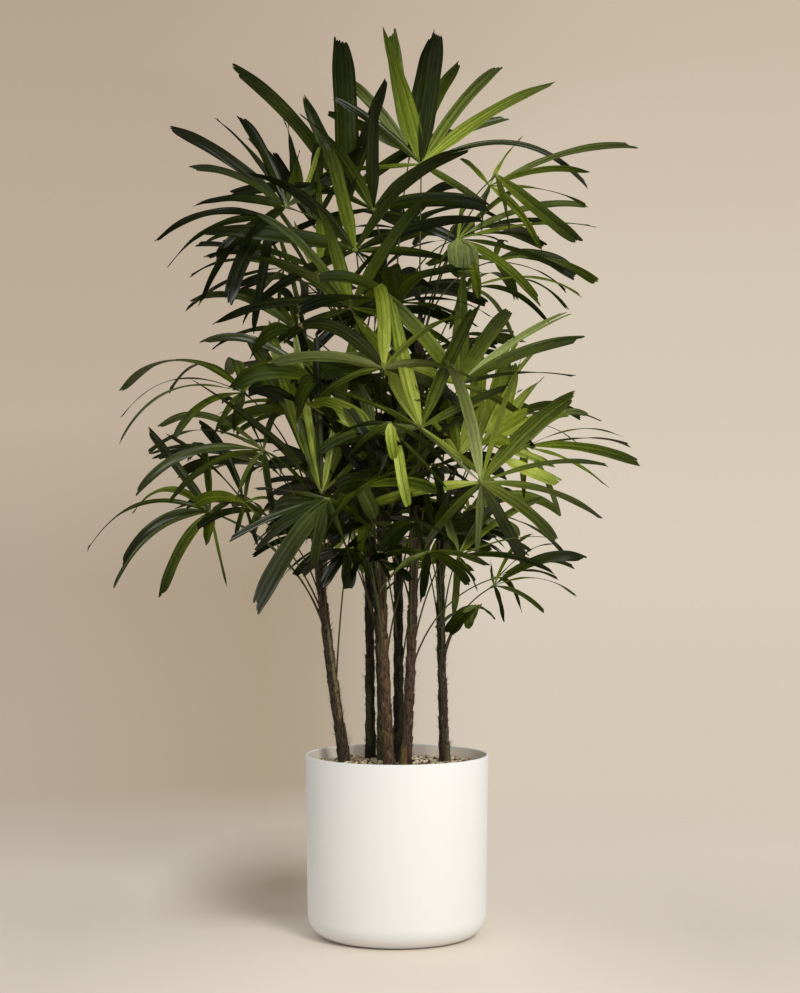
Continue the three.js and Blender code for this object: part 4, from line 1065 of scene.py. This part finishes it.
# The planter stands on a ring: its underside is hollowed by recess inside the ring's two edges. poleRing is
# the radius of the smallest ring, round which the fans close.
potLook = {
    "sides": 160, "lip": 2.2, "lipSteps": 8, "footSteps": (16, 8), "recess": 1.6, "ringEdges": (9, 6),
    # inside is the inner wall's colour: the glaze made darker and warmer, as painted shade and painted warm
    # light thrown up from the bed.
    "poleRing": 20, "colour": (228, 228, 227), "inside": (222, 211, 197), "roughness": 0.55,
    "mottle": 0.16, "shine": 0.25,
}


# A matt glaze with faint clouds, a few darker grains and a slight waviness.
def potFinish(name, colour):
    finish = Finish(name)
    clouds = finish.noise(finish.place(), scale=5, detail=3, roughness=0.6)
    grain = finish.noise(finish.place(), scale=900, detail=2, roughness=0.6)
    base = linear(colour)
    colour = finish.blend(finish.above(clouds, 0.35, gain=1.6), base, darker(base, 0.955))
    colour = finish.blend(finish.above(grain, 0.68, gain=3), colour, darker(base, 0.9))
    bump = finish.bump(grain + clouds, strength=0.12, distance=0.0006)
    roughness = potLook["roughness"] + potLook["mottle"] * (clouds - 0.5)
    return finish.surface(finish.skin(colour, roughness, potLook["shine"], bump))


look, lip, wall = potLook, potLook["lip"], planter["wall"]
outside = sideOutline(0, planter["height"] - lip, look["footSteps"][0])
inside = sideOutline(wall, planter["height"] - lip, look["footSteps"][1])
inside[:, 1] = np.maximum(inside[:, 1], planter["floor"])
outRim, inRim = outside[-1, 0], inside[-1, 0]
turn = np.linspace(0, np.pi, look["lipSteps"] + 1)[1:-1, None]
middle, spread = (outRim + inRim) / 2, (outRim - inRim) / 2
rim = np.hstack([middle + spread * np.cos(turn), planter["height"] - lip + lip * np.sin(turn)])
inEdge, outEdge = (planter["foot"] - edge for edge in look["ringEdges"])
foot = np.array([[look["poleRing"], look["recess"]], [inEdge, look["recess"]], [outEdge, 0]])
profile = np.vstack([foot, outside, rim, inside[::-1], [[look["poleRing"], planter["floor"]]]])
within = (np.arange(len(profile) - 1) >= len(foot) + len(outside) + len(rim)).astype(int)
# The inside's finish carries painted shade within the planter and painted warm light from the bed.
finishes = [potFinish("pot_glaze", look["colour"]), potFinish("pot_inside_painted_shade", look["inside"])]
addPiece("pot_body", lathe(profile, look["sides"], within), finishes, ["planter"])

# The bed under the stones: the bumpy top of the packed gravel, a little lower, dark and crumbly.
bedLook = {"sides": 96, "rings": 30, "middle": 0.03, "lower": 4.5, "bumps": 0.6, "clear": 0.6, "wallRise": 12,
           "colour": (62, 50, 38), "roughness": 0.95}


def crumbFinish(name, colour):
    finish = Finish(name)
    crumbs = finish.noise(finish.place(), scale=260, detail=4, roughness=0.7)
    base = linear(colour)
    shade = finish.blend(finish.above(crumbs, 0.35, gain=3), darker(base, 0.45), base)
    bump = finish.bump(crumbs, strength=0.9, distance=0.003)
    return finish.surface(finish.skin(shade, bedLook["roughness"], normal=bump))


look = bedLook
inRadius = sideOutline(wall + look["clear"], bed["soilTop"] + look["wallRise"], 1)[-1, 0]
bedTop = bed["soilTop"] + bed["gap"] + bed["depth"]
radii = np.linspace(look["middle"], 1, look["rings"])[:, None] * inRadius
turn = np.linspace(0, 2 * np.pi, look["sides"], endpoint=False)[None]
x, y = radii * np.cos(turn), radii * np.sin(turn)
z = bedTop - look["lower"] + bed["mound"] * look["bumps"] * bumps(x, y)
bedRings = np.stack([x, y, z], -1)
skirt = bedRings[-1:].copy()
skirt[..., 2] = bed["soilTop"] + bed["gap"]
bedShells = [
    gridShell(np.vstack([bedRings, skirt]), 0, closed=True, flipped=True),
    capShell(bedRings[0], bedRings[0].mean(0), 0),
    capShell(skirt[0], skirt[0].mean(0), 0, flipped=True),
]
addPiece("bed_crumbs", bedShells, [crumbFinish("bed_soil", look["colour"])], ["gravel"])
nodes["soil"].data.materials.clear()
nodes["soil"].data.materials.append(crumbFinish("soil_crumbs", look["colour"]))

# Stones: flattened, slightly lopsided beads laid on the bed by a golden-angle spiral, each turned its own
# way. shares says how much of the bed has each tone.
stoneLook = {
    "count": 3000, "size": (2.1, 4.7), "sizePower": 1.6, "narrow": (0.62, 1), "flat": 0.62,
    "flatness": (0.75, 1.25), "lopsided": (0.78, 0.44), "sides": 6, "bands": 3, "tip": 0.9, "edge": 3.5,
    "jitter": 2.4, "swing": 0.25, "turn": 137.508, "sink": 2.6, "heap": 1.6, "caneGap": 1.5,
    "roughness": 0.72, "shine": 0.4, "shares": [0.27, 0.2, 0.17, 0.15, 0.12, 0.09],
    "tones": [(206, 190, 156), (178, 158, 122), (226, 216, 190), (140, 116, 84), (98, 78, 58),
              (190, 176, 150)],
}


def stoneFinish(name, colour):
    finish = Finish(name)
    return finish.surface(finish.skin(linear(colour), stoneLook["roughness"], stoneLook["shine"]))


# Where the stones lie, without those that would touch the wall or a cane.
look = stoneLook
stone = np.arange(look["count"])
far = np.sqrt((stone + 0.5) / look["count"]) * (inRadius - look["edge"])
turn = stone * rad(look["turn"]) + look["swing"] * (dice(stone, 1, 61) - 0.5)
x = far * np.cos(turn) + look["jitter"] * (dice(stone, 2, 61) - 0.5)
y = far * np.sin(turn) + look["jitter"] * (dice(stone, 3, 61) - 0.5)
size = mixed(*look["size"], dice(stone, 4, 61) ** look["sizePower"])
z = bedTop - look["sink"] + bed["mound"] * bedLook["bumps"] * bumps(x, y) + look["heap"] * dice(stone, 5, 61)
free = np.hypot(x, y) + size * 0.8 < inRadius
for cane in canes.values():
    foot = caneAxis(cane, caneSpot(cane, bedTop))
    free &= np.hypot(x - foot[0], y - foot[1]) > cane["girth"][0] + look["caneGap"]
stone, x, y, z, size = stone[free], x[free], y[free], z[free], size[free]

# A bead's points: bands of a ball and its two poles, each a little in or out, squashed, tipped and turned.
band = np.linspace(0, np.pi, look["bands"] + 2)[1:-1, None]
side = np.linspace(0, 2 * np.pi, look["sides"], endpoint=False)[None]
ball = np.stack([np.sin(band) * np.cos(side), np.sin(band) * np.sin(side), np.cos(band) + 0 * side], -1)
ball = np.vstack([ball.reshape(-1, 3), [0, 0, 1], [0, 0, -1]])
least, spread = look["lopsided"]
lopsided = least + spread * dice(stone[:, None], np.arange(len(ball))[None], 62)
narrow = mixed(*look["narrow"], dice(stone, 6, 61))
flat = look["flat"] * mixed(*look["flatness"], dice(stone, 7, 61))
squash = np.stack([0 * size + 1, narrow, flat], -1)
points = ball[None] * lopsided[..., None] * (size[:, None] * squash)[:, None]
spin, tip = 2 * np.pi * dice(stone, 8, 61)[:, None], look["tip"] * (dice(stone, 9, 61) - 0.5)[:, None]
px, py, pz = points[..., 0], points[..., 1], points[..., 2]
px, pz = px * np.cos(tip) - pz * np.sin(tip), px * np.sin(tip) + pz * np.cos(tip)
px, py = px * np.cos(spin) - py * np.sin(spin), px * np.sin(spin) + py * np.cos(spin)
points = np.stack([px + x[:, None], py + y[:, None], pz + z[:, None]], -1)

# Its faces: quads between the bands and a fan over each pole.
count, n = look["sides"], len(ball)
i, j = np.meshgrid(np.arange(look["bands"] - 1), np.arange(count), indexing="ij")
beside = (j + 1) % count
quads = np.stack([i * count + j, (i + 1) * count + j, (i + 1) * count + beside, i * count + beside], -1)
quads = quads.reshape(-1, 4)
j, beside = np.arange(count), (np.arange(count) + 1) % count
last = (look["bands"] - 1) * count
upper = np.stack([j, beside, 0 * j + n - 2], -1)
lower = np.stack([last + beside, last + j, 0 * j + n - 1], -1)
tris = np.vstack([upper, lower])
offset = n * np.arange(len(stone))[:, None, None]
tone = np.searchsorted(np.cumsum(look["shares"]), dice(stone, 10, 61) * 0.999)
shells = [
    (points.reshape(-1, 3), (quads + offset).reshape(-1, 4), np.repeat(tone, len(quads))),
    (np.zeros((0, 3)), (tris + offset).reshape(-1, 3) - n * len(stone), np.repeat(tone, len(tris))),
]
finishes = [stoneFinish(f"stone_{number}", colour) for number, colour in enumerate(look["tones"])]
addPiece("stones", shells, finishes, ["gravel"])
print("pot and bed made")


# The studio: a floor that curves up into a wall all round, far enough out for the camera to go round inside
# it. Near the plant it is lit, with a painted shadow behind the pot and painted shade towards the sides;
# farther out its light is painted on: darker on the left, and a painted soft shade low down behind the pot.
# Lengths are in metres, and the wall's and floor's colours in display values.
stageLook = {
    "near": 2.6, "flat": 3.4, "radius": 9.0, "top": 7.0, "sides": 128, "bendSteps": 24,
    # After where the lit floor fades into paint: the floor's colour, the colour of its painted shadow, and
    # the tint of the painted shade on the wall.
    "nearFade": (0.9, 2.2), "floor": (225, 215, 202), "paintedShadow": (178, 163, 144), "paintedWallShade": (0.87, 0.855, 0.77),
    # The wall's painted light at the left and the right, as colours each at a share of four metres up.
    "left": [(0, (183, 168, 150)), (0.12, (180, 164, 145)), (0.3, (192, 175, 155)), (1, (180, 163, 143))],
    "right": [(0, (214, 201, 183)), (0.15, (218, 205, 187)), (0.45, (213, 200, 181)), (1, (200, 184, 164))],
    "world": (1.0, 0.985, 0.955), "ambient": 0.69, "gloss": 0.055,
    "lampColour": (1.0, 0.985, 0.955), "lampsLookAt": (0, 0, 0.8),
    # Each lamp's place, width and power.
    "lamps": {"key": ((1.7, -3.7, 2.8), 1.5, 129), "side": ((2.9, -0.9, 1.5), 1.4, 9)},
}


# The paint, by a point's place x, y, z in the room. sideways runs from 0 at the left to 1 at the right,
# faster low down and farther back. A band of the wall behind the pot is darkened as painted shade, and the
# lit floor has a painted shadow behind the pot and painted shade towards its sides.
def wallFinish():
    finish, look = Finish("studio_paint"), stageLook
    spot = finish.node("TexCoord", {}, {}, "Object")
    split = finish.node("SeparateXYZ", {}, {"Vector": spot})
    x, y, z = (Number(finish, split.socket.node.outputs[i]) for i in range(3))
    depth = finish.maths("MAXIMUM", y + 4.2, 3.0)
    across = finish.clamped(finish.maths("DIVIDE", x, depth) * 2.5 + 0.5) * 0.4 - 0.2
    ahead = finish.clamped(y * 0.2 + 0.8) ** 2
    upward = finish.clamped(z * 0.25)
    slope = finish.below(upward, 0.85, gain=3) * 8 + 3.2
    sideways = finish.clamped(across * slope * ahead + 0.5)
    sideways = sideways * sideways * (3 - 2 * sideways)
    left, right = (
        finish.ramp(upward, [(share, linear(colour)) for share, colour in stops])
        for stops in (look["left"], look["right"])
    )
    painted = finish.blend(sideways, left, right)
    # A band low down behind the pot, darkened and warmed by a tint as painted shade.
    band = finish.clamped(across * 9 + 1.56) * finish.clamped(0.13 - across * 14)
    band = band * finish.clamped(1.45 - z * 1.1) * finish.clamped(y * 1.2 - 0.3)
    paintedWallShade = finish.blend(band, (1, 1, 1), look["paintedWallShade"])
    painted = finish.node("VectorMath", {"operation": "MULTIPLY"}, {0: painted, 1: paintedWallShade})
    glow = finish.node("Emission", {}, {"Color": painted, "Strength": 1.0})

    # Painted shade on the lit floor towards the left and the right.
    paintedSideShade = finish.above(finish.maths("ABSOLUTE", x), 0.2, gain=2.4)
    onLeft = finish.clamped(x * -10) * finish.clamped(1.2 - y * 0.75)
    onRight = finish.clamped(x * 10) * finish.clamped(1.05 - y * 1.1)
    paintedSideShade = paintedSideShade * (onLeft + 1.4 * onRight)
    # A painted shadow on the lit floor behind the pot, in its own darker colour.
    behind = finish.maths("SQRT", ((x + 0.25) * 3.8) ** 2 + ((y - 0.55) * 1.15) ** 2)
    paintedShadow = finish.clamped(1.08 - behind) * finish.clamped(y * 5 - 0.1)
    floor = finish.blend(paintedShadow, linear(look["floor"]), linear(look["paintedShadow"]))
    floor = finish.node("VectorMath", {"operation": "SCALE"}, {0: floor, "Scale": 1 - 0.12 * paintedSideShade})
    lit = finish.node("BsdfDiffuse", {}, {"Color": floor})

    ground = finish.node("VectorMath", {"operation": "MULTIPLY"}, {0: spot, 1: (1, 1, 0)})
    far = finish.node("VectorMath", {"operation": "LENGTH"}, {0: ground}, "Value")
    near, beyond = look["nearFade"]
    share = finish.above(far, near, gain=1 / (beyond - near))
    return finish.surface(finish.node("MixShader", {}, {0: share, 1: lit, 2: glow}))


# A surface of revolution for the stage, facing up and inwards.
def stageRing(name, radii, heights, finish):
    turn = np.linspace(0, 2 * np.pi, stageLook["sides"], endpoint=False)
    radii, heights = np.array(radii)[:, None], np.array(heights)[:, None]
    rings = np.stack([radii * np.cos(turn), radii * np.sin(turn), heights + 0 * turn], -1)
    points, quads, _ = gridShell(rings, 0, closed=True, flipped=True)
    mesh = bpy.data.meshes.new(name)
    mesh.from_pydata(points.tolist(), [], quads.tolist())
    mesh.materials.append(finish)
    mesh.polygons.foreach_set("use_smooth", np.full(len(quads), True))
    ring = bpy.data.objects.new(name, mesh)
    scene.collection.objects.link(ring)
    ring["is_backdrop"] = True
    return ring


arc = np.linspace(0, np.pi / 2, stageLook["bendSteps"])
bend = stageLook["radius"] - stageLook["flat"]
paint = wallFinish()
stageRing("floor", [0.01, stageLook["near"]], [0, 0], paint)
radii = np.concatenate([[stageLook["near"]], stageLook["flat"] + bend * np.sin(arc), [stageLook["radius"]]])
heights = np.concatenate([[0], bend * (1 - np.cos(arc)), [stageLook["top"]]])
wall = stageRing("wall", radii, heights, paint)
wall.visible_shadow = wall.visible_diffuse = wall.visible_glossy = wall.visible_transmission = False

# Soft light from all round, of which glossy surfaces mirror only a little, so that the dark leaves stay dark.
world = bpy.data.worlds.new("studio_light")
world.use_nodes = True
sky = world.node_tree
sky.nodes.clear()
path = sky.nodes.new("ShaderNodeLightPath")
strength = sky.nodes.new("ShaderNodeMapRange")
strength.inputs["To Min"].default_value = stageLook["ambient"]
strength.inputs["To Max"].default_value = stageLook["gloss"]
light = sky.nodes.new("ShaderNodeBackground")
light.inputs["Color"].default_value = (*stageLook["world"], 1)
sky.links.new(path.outputs["Is Glossy Ray"], strength.inputs["Value"])
sky.links.new(strength.outputs["Result"], light.inputs["Strength"])
sky.links.new(light.outputs["Background"], sky.nodes.new("ShaderNodeOutputWorld").inputs["Surface"])
scene.world = world


# A round lamp at a place, turned towards the plant.
def areaLight(name, place, size, power):
    lamp = bpy.data.lights.new(name, "AREA")
    lamp.shape, lamp.size, lamp.energy, lamp.color = "DISK", size, power, stageLook["lampColour"]
    light = bpy.data.objects.new(name, lamp)
    light.location = place
    toward = np.array(stageLook["lampsLookAt"]) - np.array(place)
    tilt, turn = math.acos(-toward[2] / np.linalg.norm(toward)), math.atan2(-toward[0], toward[1])
    light.rotation_euler = (tilt, 0, turn)
    scene.collection.objects.link(light)


for name, values in stageLook["lamps"].items():
    areaLight(name, *values)
scene.view_settings.view_transform = "Standard"
print("studio made")

sizes = {"cad": [list(corner) for corner in cadBox], "visual": [list(corner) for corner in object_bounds()]}
